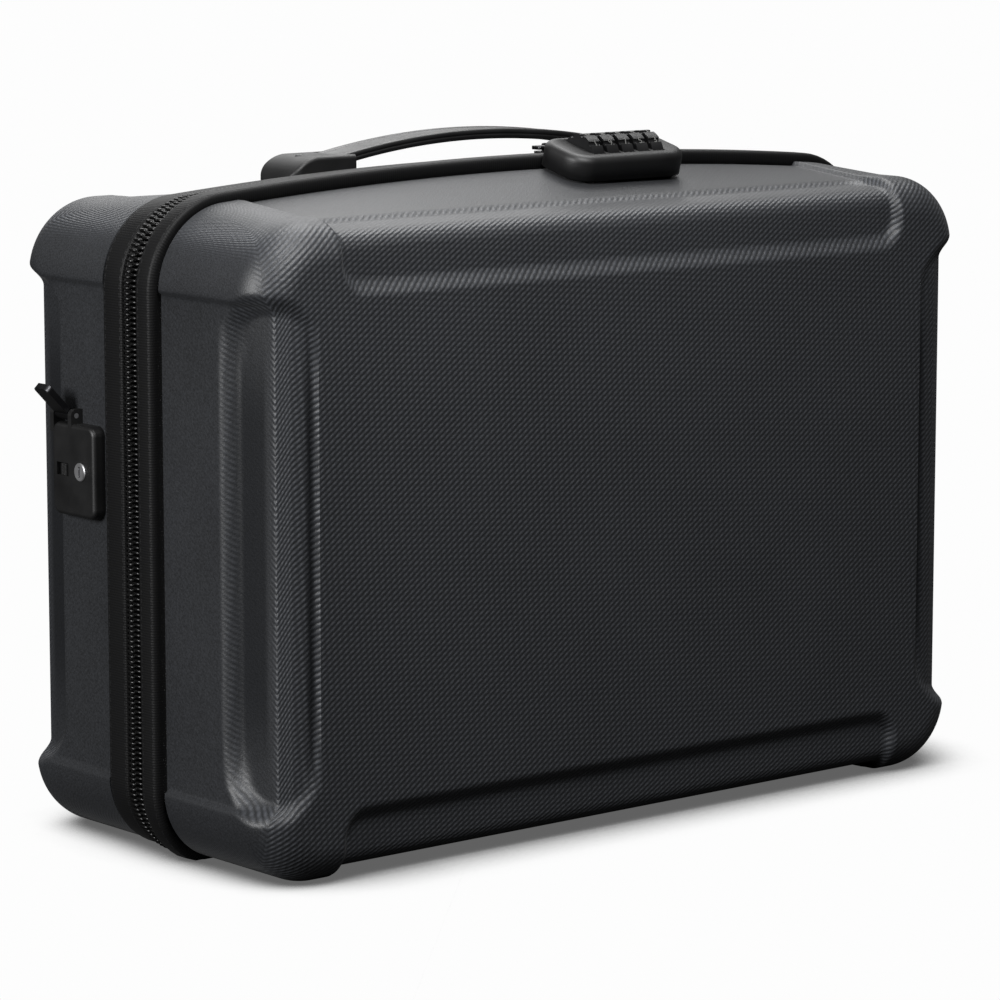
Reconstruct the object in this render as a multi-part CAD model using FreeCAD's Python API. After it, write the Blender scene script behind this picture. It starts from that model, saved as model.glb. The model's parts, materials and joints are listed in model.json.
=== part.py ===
import FreeCAD
import Part

import math
import os

# Console travel bag: two moulded half shells that a zip holds together, hinged along the bottom,
# with a carrying handle, a five-dial lock on top and a keyed lock on the left side.
# Millimetres, +Z up. The bag stands on its corner bumpers, the zip lies in the plane Y = 0,
# the front shell faces -Y, and the origin lies under the middle of the part's box.

Vector = FreeCAD.Vector

# Case
case_width = 470.0
case_height = 320.0
case_depth = 206.0
corner_radius = 38.0        # corners seen from the front
rim_radius = 20.0           # rounding from the sides to the front and back
wall = 4.5                  # moulded foam laminate
parting_gap = 0.8           # between the two halves
crown = 12.0                # rise of the top in its middle, at the zip
bumper_length = 50.0        # from a corner along the top and bottom edges
side_bumper_length = 34.0   # from a corner along the upright edges
panel_recess = 2.5          # side panels lie this far below the bumpers
strip_width = 27.0          # recessed strip along an edge, on each of its two faces
strip_depth = 6.0
strip_round = 10.0          # the strip's own outer edge
strip_corner = 14.0         # rounded ends of the strip

# Zip
tape_thickness = 1.5
floor_clearance = 0.3       # zip parts stay above the surface that the bag stands on
front_band_width = 12.0     # bound edge of the tape, beside the coil
front_band_height = 5.0     # above the side panels
rear_band_width = 16.0
rear_band_height = 3.5
band_round = 2.0
coil_width = 6.5            # one row
coil_height = 3.5
coil_slit = 1.3             # between the two rows
coil_margin = 1.0           # between a row and the bound edge
hinge_length = 360.0        # cloth hinge along the bottom, where the coil stops
hinge_thickness = 0.6

# Zip sliders and pulls
slider_length = 15.0
slider_width = 13.0
slider_plate = 1.8
slider_web = 0.7            # tongue between the two rows
slider_spacing = 24.0
slider_clearance = 0.3
pull_length = 21.0
pull_width = 7.0
pull_thickness = 1.8
pull_pin_radius = 0.9
pin_clearance = 0.2
lug_thickness = 1.4
lug_gap = 0.3

# Handle
handle_offset = 15.0        # middle of the handle from the middle of the case
handle_span = 240.0         # end to end of the strap
handle_rise = 16.0
handle_gap = 9.35           # from the rear tape to the end caps
handle_thickness = 5.5
handle_seat = 5.0           # level of the handle above the top panel's straight edge
handle_lift = 2.5           # strap ends above that level
cap_length = 42.0
cap_height = 15.0
cap_side = 4.0
cap_overlap = 8.0           # cap beyond the strap's end
cap_toe = 3.0               # height of the cap's outer end
cap_slope = 19.0            # length of the cap's sloping back
cap_shoulder = 10.8         # height of the slope a third of the way up
cap_round = 2.0             # long edges of the roof
cap_clearance = 0.5
rivet_radius = 2.2
rivet_head_radius = 4.0
rivet_head_height = 1.6
rivet_inset = 9.0           # from the strap's end
plate_thickness = 2.0       # stiffening plates inside the shells
plate_margin = 3.0
plate_clearance = 1.0       # between a plate and the shell's inner ribs

# Dial lock on the front shell's top
lock_offset = 43.0          # middle of the lock from the middle of the case
lock_length = 78.0
lock_width = 36.0
lock_height = 12.0          # above the top panel
lock_corner = 13.0
lock_round = 4.0
lock_gap = 15.5             # from the zip's middle to the lock
lock_lip_height = 2.0       # shadow gap under the lock's brim
lock_lip_depth = 4.0
lock_bed = 2.0              # how far the lock's foot and plate are let down to meet the arched panel
lock_clearance = 0.5        # between the lock and the zip tape that it reaches over
tub_length = 53.0           # lower half of the lock, let into the shell
tub_width = 26.0
tub_floor = 1.6
tub_clearance = 0.4
dial_count = 5
dial_radius = 12.4
dial_width = 7.4
dial_pitch = 10.2
dial_proud = 9.0
dial_clearance = 0.4
dial_notches = 10
notch_radius = 1.3
spindle_radius = 1.6
spindle_clearance = 0.2
spindle_end = 3.0           # length seated in each end wall
screw_radius = 1.5
screw_head_radius = 3.0
screw_head_height = 1.8
screw_bite = 5.0            # into the piece that it holds

# Keyed lock on the rear shell's left side
side_lock_gap = 4.35        # from the rear tape to the lock
side_lock_height = 46.0
side_lock_proud = 7.0       # above the side panel
side_lock_corner = 5.0
side_lock_round = 2.0
side_lock_level = 189.0     # middle above the floor
cylinder_radius = 4.6
cylinder_length = 6.0
cylinder_proud = 0.8
cylinder_share = 0.18       # of the lock's width, from its middle towards the zip
cylinder_clearance = 0.15
keyway_width = 1.4
keyway_length = 5.6
keyway_depth = 4.0
slide_window_width = 10.0
slide_window_height = 6.4
slide_window_depth = 3.0
slide_button_width = 5.0
slide_button_proud = 0.8
slide_clearance = 0.3
slide_grooves = 3
slide_share = 0.25          # of the lock's width, from its middle towards the back
lever_length = 21.0
lever_share = 0.32          # of the lock's width
lever_thickness = 3.2
lever_slant = 44.0          # degrees from upright, leaning outwards
lever_place_share = 0.28    # of the lock's width, from its middle towards the back
lever_pin_radius = 1.3
lever_eye_radius = 3.2
lever_eye_gap = 0.4
lever_cheek = 3.0
lever_seat = 4.0            # pin's height above the lock's top edge

# Foam trays inside
tray_clearance = 0.5
rear_tray_level = 6.0       # rear tray's face behind the zip
console_length = 396.0
console_height = 262.0
console_depth = 80.0
console_corner = 22.0
finger_radius = 15.0
front_tray_level = 24.0     # front tray's face in front of the zip
pad_pocket_width = 168.0
pad_pocket_height = 118.0
pad_pocket_depth = 52.0
pad_pocket_corner = 24.0
pad_pocket_gap = 20.0
cable_pocket_height = 74.0

half_width = case_width / 2
half_depth = case_depth / 2
rim = parting_gap / 2
top_panel = case_height - panel_recess
left_panel = -half_width + panel_recess
row_start = coil_slit / 2
band_start = row_start + coil_width + coil_margin
front_band_end = band_start + front_band_width
rear_band_end = band_start + rear_band_width
coil_top = top_panel + tape_thickness + coil_height
strip_reach = strip_width + strip_depth
rib_start = half_depth - strip_reach - wall      # the edge strip's rib inside the shell
plate_end = rib_start - plate_clearance
crown_start = rear_band_end + parting_gap        # the top slopes down from here
crown_end = half_depth - strip_reach             # and is straight from here to the front
handle_base = top_panel + handle_seat
overcut = 20.0              # how far a cutting tool runs past the piece
eps = 1e-6

# Fittings of the rear shell fill the panel between the tape and the edge strip
cap_width = plate_end - rear_band_end - handle_gap
handle_width = cap_width - 2 * (cap_side + cap_clearance)
handle_place = plate_end - cap_width / 2
side_lock_width = plate_end - rear_band_end - side_lock_gap
side_lock_place = plate_end - side_lock_width / 2
cylinder_offset = cylinder_share * side_lock_width
slide_offset = slide_share * side_lock_width
lever_width = lever_share * side_lock_width
lever_offset = lever_place_share * side_lock_width

# The lever is the only piece that reaches past the case's sides by much
lever_pivot_x = left_panel - side_lock_proud + lever_eye_radius
lever_reach = (lever_length * math.sin(math.radians(lever_slant)) + lever_thickness / 2
               - lever_pivot_x - half_width)
band_reach = max(front_band_height, tape_thickness + coil_height) - panel_recess
origin_shift = (lever_reach - band_reach) / 2


def box(x0, x1, y0, y1, z0, z1):
    """Block between two corners."""
    return Part.makeBox(x1 - x0, y1 - y0, z1 - z0, Vector(x0, y0, z0))


def rod(start, axis, length, radius):
    """Cylinder from a point along an axis."""
    return Part.makeCylinder(radius, length, Vector(*start), Vector(*axis))


def edges_along(shape, axis):
    """Straight edges that run along an axis."""
    wanted = Vector(*axis)
    straight = [e for e in shape.Edges if isinstance(e.Curve, Part.Line)]
    return [e for e in straight if abs(e.tangentAt(e.FirstParameter).dot(wanted)) > 1 - eps]


def edges_at(shape, axis, level):
    """Edges whose ends both lie at a level of X, Y or Z (axis 0, 1 or 2)."""
    return [e for e in shape.Edges if all(abs(v.Point[axis] - level) < eps for v in e.Vertexes)]


def rounded_box(corner_low, corner_high, axis, radius):
    """Block whose edges along one axis are rounded."""
    x0, y0, z0 = corner_low
    x1, y1, z1 = corner_high
    block = box(x0, x1, y0, y1, z0, z1)
    return block.makeFillet(radius, edges_along(block, axis))


def crown_at(x):
    """Rise of the arched top at the zip, at a place across the width."""
    radius = (half_width ** 2 + crown ** 2) / (2 * crown)
    return crown - radius + math.sqrt(radius ** 2 - x ** 2)


def case_prism(offset, y0, y1, rise=crown):
    """Case outline grown by an offset (shrunk if negative), between two depths, its top arched by a rise.

    What stands proud of the bumpers is kept off the floor along the bottom.
    """
    low = -offset if offset <= 0 else floor_clearance
    left, right, top = -half_width - offset, half_width + offset, case_height + offset
    corners = [Vector(left, y0, top), Vector(left, y0, low), Vector(right, y0, low), Vector(right, y0, top)]
    edges = Part.makePolygon(corners).Edges
    if rise > 0:
        edges.append(Part.Arc(corners[3], Vector(0, y0, top + rise), corners[0]).toShape())
    else:
        edges.append(Part.makeLine(corners[3], corners[0]))
    block = Part.Face(Part.Wire(edges)).extrude(Vector(0, y1 - y0, 0))
    return block.makeFillet(corner_radius + offset, edges_along(block, (0, 1, 0)))


def wire_at(shape, y):
    """Outline of the flat end of a shape at a depth."""
    ends = [f for f in shape.Faces if all(abs(v.Point.y - y) < eps for v in f.Vertexes)]
    return ends[0].OuterWire


def case_ring(outer, inner, y0, y1):
    """Band round the case between two offsets of its outline."""
    return case_prism(outer, y0, y1).cut(case_prism(inner, y0 - overcut, y1 + overcut))


def case_block(inset, front_inset, rounding):
    """Front half of the case as a full block: arched at the zip, straight at its rounded front rim."""
    front = -half_depth + front_inset
    arched = case_prism(-inset, -crown_start, -rim)
    plain = case_prism(-inset, front, -crown_end, 0.0)
    slope = Part.makeLoft([wire_at(arched, -crown_start), wire_at(plain, -crown_end)], True, True)
    plain = plain.makeFillet(rounding, edges_at(plain, 1, front))
    return arched.fuse([slope, plain]).removeSplitter()


def panel_block():
    """Front half of the case at the level of its recessed panels."""
    return case_block(panel_recess, 0.0, rim_radius - panel_recess)


def strip_cutter(length, bumper, grow):
    """Tool for one recessed edge strip, along X, with the case's sharp edge through the origin.

    The case lies at +Y and -Z of that edge. Growing the tool gives the inside of the wall.
    """
    half = length / 2 - (bumper - grow)
    reach = strip_reach + grow
    depth = strip_depth + grow
    front = box(-half, half, -overcut, depth, -reach, overcut)
    front = front.makeFillet(strip_corner, [e for e in edges_along(front, (0, 1, 0))
                                            if e.CenterOfMass.z < 0])
    panel = box(-half, half, -overcut, reach, -depth, overcut)
    panel = panel.makeFillet(strip_corner, [e for e in edges_along(panel, (0, 0, 1))
                                            if e.CenterOfMass.y > 0])
    rounding = max(strip_round - grow, 1.0)
    edge = box(-half, half, depth - rounding, depth + rounding, -depth - rounding, -depth + rounding)
    edge = edge.cut(box(-half, half, depth + rounding, depth + 3 * rounding, -depth - 3 * rounding,
                        -depth + rounding))
    core = rod((-half, depth + rounding, -depth - rounding), (1, 0, 0), 2 * half, rounding)
    return front.fuse(panel).fuse(edge.cut(core))


def panel_cutter(length, bumper):
    """Tool for one recessed side panel, placed as the strip's tool is."""
    half = length / 2 - bumper
    return box(-half, half, strip_depth, half_depth - rim, -panel_recess, overcut)


def round_the_case(make_tool):
    """Tools made by a function of the edge's length and bumper, set on the four front edges."""
    tools = []
    for quarter in range(4):
        across = quarter % 2 == 1
        tool = make_tool(case_height, side_bumper_length) if across else make_tool(case_width, bumper_length)
        reach = half_width if across else case_height / 2
        tool.translate(Vector(0, -half_depth, reach))
        tool.rotate(Vector(0, 0, 0), Vector(0, 1, 0), 90 * quarter)
        tool.translate(Vector(0, 0, case_height / 2))
        tools.append(tool)
    return tools


def cut_all(shape, tools):
    """Cut several tools from a shape."""
    for tool in tools:
        shape = shape.cut(tool)
    return shape


def cavity(clearance):
    """Inside of the front shell, less a clearance."""
    inner = wall + clearance
    block = case_block(panel_recess + inner, inner, rim_radius - panel_recess - inner)
    return cut_all(block, round_the_case(lambda length, bumper: strip_cutter(length, bumper, inner)))


def half_shell(band_end):
    """Shell before the holes for its fittings, as a front half, with a seat for a tape this wide."""
    outside = case_block(0.0, 0.0, rim_radius)
    seat_end = -band_end - parting_gap
    seat = box(-case_width, case_width, seat_end, overcut, -overcut, case_height + overcut)
    outside = outside.cut(seat.cut(case_prism(-panel_recess, seat_end - overcut, 2 * overcut)))
    recessed = panel_block()
    outside = cut_all(outside, [tool.cut(recessed) for tool in round_the_case(panel_cutter)])
    outside = cut_all(outside, round_the_case(lambda length, bumper: strip_cutter(length, bumper, 0.0)))
    inside = cavity(0.0)
    mouth = case_prism(-panel_recess - wall, -2 * rim, overcut)
    return outside.cut(inside).cut(mouth)


def mirrored(shape):
    """Mirror image across the zip's plane."""
    return shape.mirror(Vector(0, 0, 0), Vector(0, 1, 0))


def zip_tape(band_end, band_height):
    """One tape on the front side: a flat flange under the coil and a bound, raised edge."""
    panel = -panel_recess
    flange = case_ring(panel + tape_thickness, panel, -band_end, -row_start)
    band = case_prism(panel + band_height, -band_end, -band_start)
    band = band.makeFillet(band_round, edges_at(band, 1, -band_end))
    band = band.cut(case_prism(panel, -band_end - overcut, overcut))
    return flange.fuse(band).removeSplitter()


def coil_row():
    """One row of the zip on the front side, round the case from one end of the hinge to the other."""
    panel = -panel_recess
    row = case_ring(panel + tape_thickness + coil_height, panel + tape_thickness,
                    -row_start - coil_width, -row_start)
    return row.cut(box(-hinge_length / 2, hinge_length / 2, -overcut, overcut, -overcut, overcut))


def hinge_cloth():
    """Cloth that joins the two tapes along the bottom; its outer face is the hinge line."""
    half = hinge_length / 2 - parting_gap
    return box(-half, half, -band_start + coil_margin / 2, band_start - coil_margin / 2,
               floor_clearance, floor_clearance + hinge_thickness)


def pull_eye_radius():
    """Outside radius of the pull's eye."""
    return pull_thickness / 2 + pull_pin_radius


def slider_bottom(x):
    """Underside of a slider's plate at a place along the arched zip."""
    return coil_top + crown_at(x) + slider_clearance


def slider_pin_level(x):
    """Height of the pull's pin, which lets the eye turn clear of the slider."""
    return slider_bottom(x) + slider_plate + pull_eye_radius() + slider_clearance


def zip_slider(side):
    """Slider on the top run of the zip, with a tongue between the rows and lugs for its pull."""
    x = lock_offset + side * slider_spacing / 2
    bottom = slider_bottom(x)
    plate = rounded_box((x - slider_length / 2, -slider_width / 2, bottom),
                        (x + slider_length / 2, slider_width / 2, bottom + slider_plate),
                        (0, 0, 1), slider_width / 4)
    web = box(x - slider_length / 4, x + slider_length / 4, -slider_web / 2, slider_web / 2,
              bottom - coil_height, bottom + slider_plate / 2)
    pin_level = slider_pin_level(x)
    body = plate.fuse(web)
    inner = pull_width / 2 + lug_gap
    lug_top = pin_level + pull_eye_radius()
    for way in (-1, 1):
        y0 = inner if way > 0 else -inner - lug_thickness
        lug = rounded_box((x - pull_thickness, y0, bottom), (x + pull_thickness, y0 + lug_thickness, lug_top),
                          (0, 1, 0), pull_thickness / 2)
        body = body.fuse(lug)
    pin = rod((x, -inner - lug_thickness / 2, pin_level), (0, 1, 0), 2 * inner + lug_thickness,
              pull_pin_radius)
    return body.fuse(pin).removeSplitter()


def zip_pull(side):
    """Pull tab that lies on its slider, pointing away from the other slider."""
    x = lock_offset + side * slider_spacing / 2
    level = slider_pin_level(x)
    eye = rod((x, -pull_width / 2, level), (0, 1, 0), pull_width, pull_eye_radius())
    far = x + side * pull_length
    tab = rounded_box((min(x, far), -pull_width / 2, level - pull_thickness / 2),
                      (max(x, far), pull_width / 2, level + pull_thickness / 2), (0, 0, 1), pull_width / 3)
    hole = rod((x, -pull_width, level), (0, 1, 0), 2 * pull_width, pull_pin_radius + pin_clearance)
    return tab.fuse(eye).cut(hole).removeSplitter()


def arch(lift, thickness, inset):
    """Strap of the handle: a shallow arc of even thickness between its two ends."""
    half = handle_span / 2 - inset
    base = handle_base + lift
    arcs = []
    for level in (base, base + thickness):
        middle = Vector(0, 0, level + handle_rise)
        arcs.append(Part.Arc(Vector(-half, 0, level), middle, Vector(half, 0, level)).toShape())
    low, high = arcs
    ends = [Part.makeLine(low.Vertexes[i].Point, high.Vertexes[i].Point) for i in (0, 1)]
    return Part.Face(Part.Wire(Part.__sortEdges__([low, high] + ends)))


def rivet_places():
    """X of the two rivets, and the way that their strap end points."""
    reach = handle_span / 2 - rivet_inset
    return [(handle_offset - reach, -1), (handle_offset + reach, 1)]


def handle_strap():
    """Moulded carrying strap with a hole at each end."""
    strap = arch(handle_lift, handle_thickness, 0.0).extrude(Vector(0, handle_width, 0))
    strap.translate(Vector(handle_offset, handle_place - handle_width / 2, 0))
    long_edges = [e for e in strap.Edges if isinstance(e.Curve, Part.Circle)]
    strap = strap.makeFillet(handle_thickness / 3, long_edges)
    for x, _ in rivet_places():
        strap = strap.cut(rod((x, handle_place, top_panel), (0, 0, 1), cap_height * 2,
                              rivet_radius + cap_clearance))
    return strap


def handle_cap(side):
    """Streamlined end cap: a tapered hood with its mouth towards the middle of the handle."""
    outer = handle_offset + side * (handle_span / 2 + cap_overlap)
    mouth = outer - side * cap_length
    top = handle_base + cap_height
    brow = outer - side * cap_slope
    heel = Vector(outer, 0, top_panel)
    toe = Vector(outer, 0, handle_base + cap_toe)
    shoulder = Vector(outer - side * cap_slope / 3, 0, handle_base + cap_shoulder)
    slope = Part.Arc(toe, shoulder, Vector(brow, 0, top)).toShape()
    roof, sill = Vector(mouth, 0, top), Vector(mouth, 0, top_panel)
    rest = Part.makePolygon([Vector(brow, 0, top), roof, sill, heel, toe])
    hood = Part.Face(Part.Wire([slope] + rest.Edges)).extrude(Vector(0, cap_width, 0))
    hood.translate(Vector(0, handle_place - cap_width / 2, 0))
    corners = [e for e in edges_along(hood, (0, 0, 1)) if abs(e.CenterOfMass.x - outer) < eps]
    hood = hood.makeFillet(cap_side * 2, corners)
    roof_edges = [e for e in hood.Edges if e.CenterOfMass.z > handle_base + cap_toe + eps
                  and abs(abs(e.CenterOfMass.y - handle_place) - cap_width / 2) < eps
                  and not isinstance(e.Curve, Part.Line)]
    roof_edges += [e for e in edges_along(hood, (1, 0, 0)) if abs(e.CenterOfMass.z - top) < eps]
    hood = hood.makeFillet(cap_round, roof_edges)
    room = arch(0.0, handle_thickness + handle_lift + cap_clearance, -cap_clearance)
    room = room.extrude(Vector(0, handle_width + 2 * cap_clearance, 0))
    room.translate(Vector(handle_offset, handle_place - handle_width / 2 - cap_clearance, 0))
    hood = hood.cut(room).cut(mirrored(panel_block()))
    x = rivet_places()[0 if side < 0 else 1][0]
    return hood.cut(rod((x, handle_place, top_panel - overcut), (0, 0, 1), 4 * overcut, rivet_radius))


def handle_plate(side):
    """Stiffening wedge under the shell's sloping top, behind an end cap."""
    outer = handle_offset + side * (handle_span / 2 + cap_overlap)
    mouth = outer - side * cap_length
    top = top_panel - wall
    plate = rounded_box((min(outer, mouth), handle_place - cap_width / 2, top - plate_thickness),
                        (max(outer, mouth), handle_place + cap_width / 2, top + crown), (0, 0, 1), cap_side)
    plate = plate.common(mirrored(cavity(0.0)))
    x = rivet_places()[0 if side < 0 else 1][0]
    return plate.cut(rod((x, handle_place, top - overcut), (0, 0, 1), 2 * overcut, rivet_radius))


def cap_top_at(x, side):
    """Height of an end cap's roof over a place along the handle."""
    cap = handle_cap(side)
    probe = box(x - rivet_radius / 2, x + rivet_radius / 2, handle_place + rivet_radius * 1.5,
                handle_place + rivet_radius * 2, top_panel, top_panel + cap_height * 2)
    return cap.common(probe).BoundBox.ZMax


def handle_rivets():
    """Two rivets that hold the caps, the strap's ends and the plates to the rear shell."""
    rivets = []
    low = top_panel - wall - plate_thickness
    for x, side in rivet_places():
        high = cap_top_at(x, side)
        shank = rod((x, handle_place, low), (0, 0, 1), high - low, rivet_radius)
        head = rod((x, handle_place, low), (0, 0, -1), rivet_head_height, rivet_head_radius)
        rivets.append(shank.fuse(head))
    return Part.makeCompound(rivets)


def lock_slope():
    """Angle in degrees of the top panel under the dial lock."""
    return math.degrees(math.atan2(crown_at(lock_offset), crown_end - crown_start))


def on_lock_slope(shape):
    """Shape that is made on a level top, set on the sloping panel under the dial lock."""
    shape.rotate(Vector(0, -crown_start, top_panel), Vector(1, 0, 0), lock_slope())
    shape.translate(Vector(0, 0, crown_at(lock_offset)))
    return shape


def at_lock_level(shape):
    """Shape of the case, turned so that the panel under the dial lock is level."""
    shape.translate(Vector(0, 0, -crown_at(lock_offset)))
    shape.rotate(Vector(0, -crown_start, top_panel), Vector(1, 0, 0), -lock_slope())
    return shape


def lock_bounds():
    """Plan of the dial lock: low and high X, low and high Y."""
    return (lock_offset - lock_length / 2, lock_offset + lock_length / 2, -lock_gap - lock_width, -lock_gap)


def dial_places():
    """X of the middle of each dial."""
    return [lock_offset + (i - (dial_count - 1) / 2) * dial_pitch for i in range(dial_count)]


def spindle_line():
    """Y and Z of the dials' spindle."""
    return (-lock_gap - lock_width / 2, top_panel + lock_height + dial_proud - dial_radius)


def tub_bounds(grow):
    """Plan of the lock's tub, grown on each side."""
    y, _ = spindle_line()
    return (lock_offset - tub_length / 2 - grow, lock_offset + tub_length / 2 + grow,
            y - tub_width / 2 - grow, y + tub_width / 2 + grow)


def tub_bottom():
    """Underside of the lock's tub."""
    return spindle_line()[1] - dial_radius - dial_clearance - tub_floor


def lock_screw_places():
    """X and Y of the four screws that hold the dial lock from inside the shell."""
    x0, x1, y0, y1 = tub_bounds(screw_head_radius + tub_clearance)
    inset = 3 * screw_head_radius
    return [(x, y) for x in (x0, x1) for y in (y0 + inset, y1 - inset)]


def lock_body():
    """Housing with a rounded brim, a foot under it, a tub let into the shell and a slot for each dial."""
    x0, x1, y0, y1 = lock_bounds()
    top = top_panel + lock_height
    brim = rounded_box((x0, y0, top_panel + lock_lip_height), (x1, y1, top), (0, 0, 1), lock_corner)
    brim = brim.makeFillet(lock_round, edges_at(brim, 2, top))
    tape_edge = -front_band_end - lock_clearance
    foot_edge = min(y1 - lock_lip_depth, tape_edge)
    foot = rounded_box((x0 + lock_lip_depth, y0 + lock_lip_depth, top_panel - lock_bed),
                       (x1 - lock_lip_depth, foot_edge, top_panel + lock_lip_height),
                       (0, 0, 1), lock_corner - lock_lip_depth)
    foot = foot.cut(at_lock_level(panel_block()))
    rebate = box(x0 - overcut, x1 + overcut, tape_edge, overcut, top_panel - overcut,
                 top_panel + front_band_height + lock_clearance)
    brim = brim.cut(rebate)
    a, b, c, d = tub_bounds(0.0)
    tub = rounded_box((a, c, tub_bottom()), (b, d, top_panel), (0, 0, 1), tub_clearance * 4)
    body = brim.fuse(foot).fuse(tub)
    y, z = spindle_line()
    for x in dial_places():
        body = body.cut(rod((x - dial_width / 2 - dial_clearance, y, z), (1, 0, 0),
                            dial_width + 2 * dial_clearance, dial_radius + dial_clearance))
    body = body.cut(spindle())
    for x, y in lock_screw_places():
        body = body.cut(rod((x, y, top_panel - overcut), (0, 0, 1), overcut + screw_bite, screw_radius))
    return body.removeSplitter()


def spindle():
    """Rod that the dials turn on."""
    y, z = spindle_line()
    places = dial_places()
    reach = dial_width / 2 + dial_clearance + spindle_end
    return rod((places[0] - reach, y, z), (1, 0, 0), places[-1] - places[0] + 2 * reach, spindle_radius)


def dial(index):
    """Number wheel with finger notches round its rim."""
    x = dial_places()[index]
    y, z = spindle_line()
    wheel = rod((x - dial_width / 2, y, z), (1, 0, 0), dial_width, dial_radius)
    cut_start, cut_length = x - dial_width, 2 * dial_width
    for step in range(dial_notches):
        angle = 2 * math.pi * (step + 0.5) / dial_notches
        notch = (cut_start, y + dial_radius * math.cos(angle), z + dial_radius * math.sin(angle))
        wheel = wheel.cut(rod(notch, (1, 0, 0), cut_length, notch_radius))
    return wheel.cut(rod((cut_start, y, z), (1, 0, 0), cut_length, spindle_radius + spindle_clearance))


def lock_plate():
    """Frame inside the front shell that the dial lock's screws pull against."""
    grow = 2 * screw_head_radius + plate_margin
    a, b, c, d = tub_bounds(grow)
    top = top_panel - wall
    plate = rounded_box((a, c, top - plate_thickness), (b, d, top + lock_bed), (0, 0, 1), plate_margin)
    plate = plate.common(at_lock_level(cavity(0.0)))
    a, b, c, d = tub_bounds(tub_clearance)
    plate = plate.cut(box(a, b, c, d, top - overcut, top + overcut))
    for x, y in lock_screw_places():
        plate = plate.cut(rod((x, y, top - overcut), (0, 0, 1), 2 * overcut, screw_radius))
    return plate


def lock_screws():
    """Screws of the dial lock, heads inside the shell."""
    low = top_panel - wall - plate_thickness
    screws = []
    for x, y in lock_screw_places():
        shank = rod((x, y, low), (0, 0, 1), top_panel + screw_bite - low, screw_radius)
        head = rod((x, y, low - screw_head_height), (0, 0, 1), screw_head_height, screw_head_radius)
        screws.append(shank.fuse(head))
    return Part.makeCompound(screws)


def side_lock_bounds():
    """Keyed lock: low and high Y, low and high Z."""
    return (side_lock_place - side_lock_width / 2, side_lock_place + side_lock_width / 2,
            side_lock_level - side_lock_height / 2, side_lock_level + side_lock_height / 2)


def lever_pin_line():
    """X, Y and Z of the middle of the lever's pin."""
    return (lever_pivot_x, side_lock_place + lever_offset, side_lock_bounds()[3] + lever_seat)


def cylinder_line():
    """Y and Z of the key cylinder."""
    return (side_lock_place - cylinder_offset, side_lock_level)


def side_screw_places():
    """Y and Z of the two screws of the keyed lock."""
    _, _, z0, z1 = side_lock_bounds()
    inset = side_lock_corner + screw_radius
    return [(side_lock_place, z0 + inset), (side_lock_place, z1 - inset)]


def side_lock_body():
    """Housing with a key cylinder's bore, a window for the release slide and ears for the lever."""
    y0, y1, z0, z1 = side_lock_bounds()
    face = left_panel - side_lock_proud
    body = rounded_box((face, y0, z0), (left_panel, y1, z1), (1, 0, 0), side_lock_corner)
    body = body.makeFillet(side_lock_round, edges_at(body, 0, face))
    px, py, pz = lever_pin_line()
    inner = lever_width / 2 + lever_eye_gap
    for way in (-1, 1):
        a = py + inner if way > 0 else py - inner - lever_cheek
        cheek = rod((px, a, pz), (0, 1, 0), lever_cheek, lever_eye_radius)
        foot = box(px - lever_eye_radius, left_panel, a, a + lever_cheek, z1 - side_lock_corner, pz)
        web = box(px, left_panel, a, a + lever_cheek, pz - lever_eye_radius, pz + lever_eye_radius)
        body = body.fuse(cheek.fuse(foot).fuse(web))
    body = body.cut(lever_pin())
    y, z = cylinder_line()
    body = body.cut(rod((face - overcut, y, z), (1, 0, 0), overcut + cylinder_length + cylinder_clearance,
                        cylinder_radius + cylinder_clearance))
    w, h = slide_window_width / 2, slide_window_height / 2
    y = side_lock_place + slide_offset
    body = body.cut(box(face - overcut, face + slide_window_depth, y - w, y + w,
                        side_lock_level - h, side_lock_level + h))
    for y, z in side_screw_places():
        body = body.cut(rod((left_panel, y, z), (-1, 0, 0), screw_bite, screw_radius))
    return body.removeSplitter()


def key_cylinder():
    """Turning plug with a keyway."""
    y, z = cylinder_line()
    face = left_panel - side_lock_proud - cylinder_proud
    plug = rod((face, y, z), (1, 0, 0), cylinder_length + cylinder_proud, cylinder_radius)
    plug = plug.makeChamfer(cylinder_proud / 2, edges_at(plug, 0, face))
    return plug.cut(box(face - overcut, face + keyway_depth, y - keyway_width / 2, y + keyway_width / 2,
                        z - keyway_length / 2, z + keyway_length / 2))


def release_slide():
    """Thumb slide in the window beside the key cylinder, at its forward end."""
    face = left_panel - side_lock_proud
    y0 = side_lock_place + slide_offset - slide_window_width / 2 + slide_clearance
    h = slide_window_height / 2 - slide_clearance
    block = box(face - slide_button_proud, face + slide_window_depth - slide_clearance, y0,
                y0 + slide_button_width, side_lock_level - h, side_lock_level + h)
    for i in range(slide_grooves):
        y = y0 + slide_button_width * (i + 1) / (slide_grooves + 1)
        start = (face - slide_button_proud, y, side_lock_level - overcut)
        block = block.cut(rod(start, (0, 0, 1), 2 * overcut, slide_button_proud / 2))
    return block


def lever():
    """Pull lever with a rounded end, leaning outwards from its pin."""
    px, py, pz = lever_pin_line()
    half = lever_width / 2
    paddle = rounded_box((px - lever_thickness / 2, py - half, pz),
                         (px + lever_thickness / 2, py + half, pz + lever_length), (1, 0, 0), half / 2)
    eye = rod((px, py - half, pz), (0, 1, 0), lever_width, lever_eye_radius - lever_eye_gap)
    square = box(px - lever_thickness / 2, px + lever_thickness / 2, py - half, py + half, pz, pz + half)
    piece = paddle.fuse(eye).fuse(square)
    piece.rotate(Vector(px, py, pz), Vector(0, 1, 0), -lever_slant)
    hole = rod((px, py - lever_width, pz), (0, 1, 0), 2 * lever_width, lever_pin_radius + pin_clearance)
    return piece.cut(hole).removeSplitter()


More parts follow.
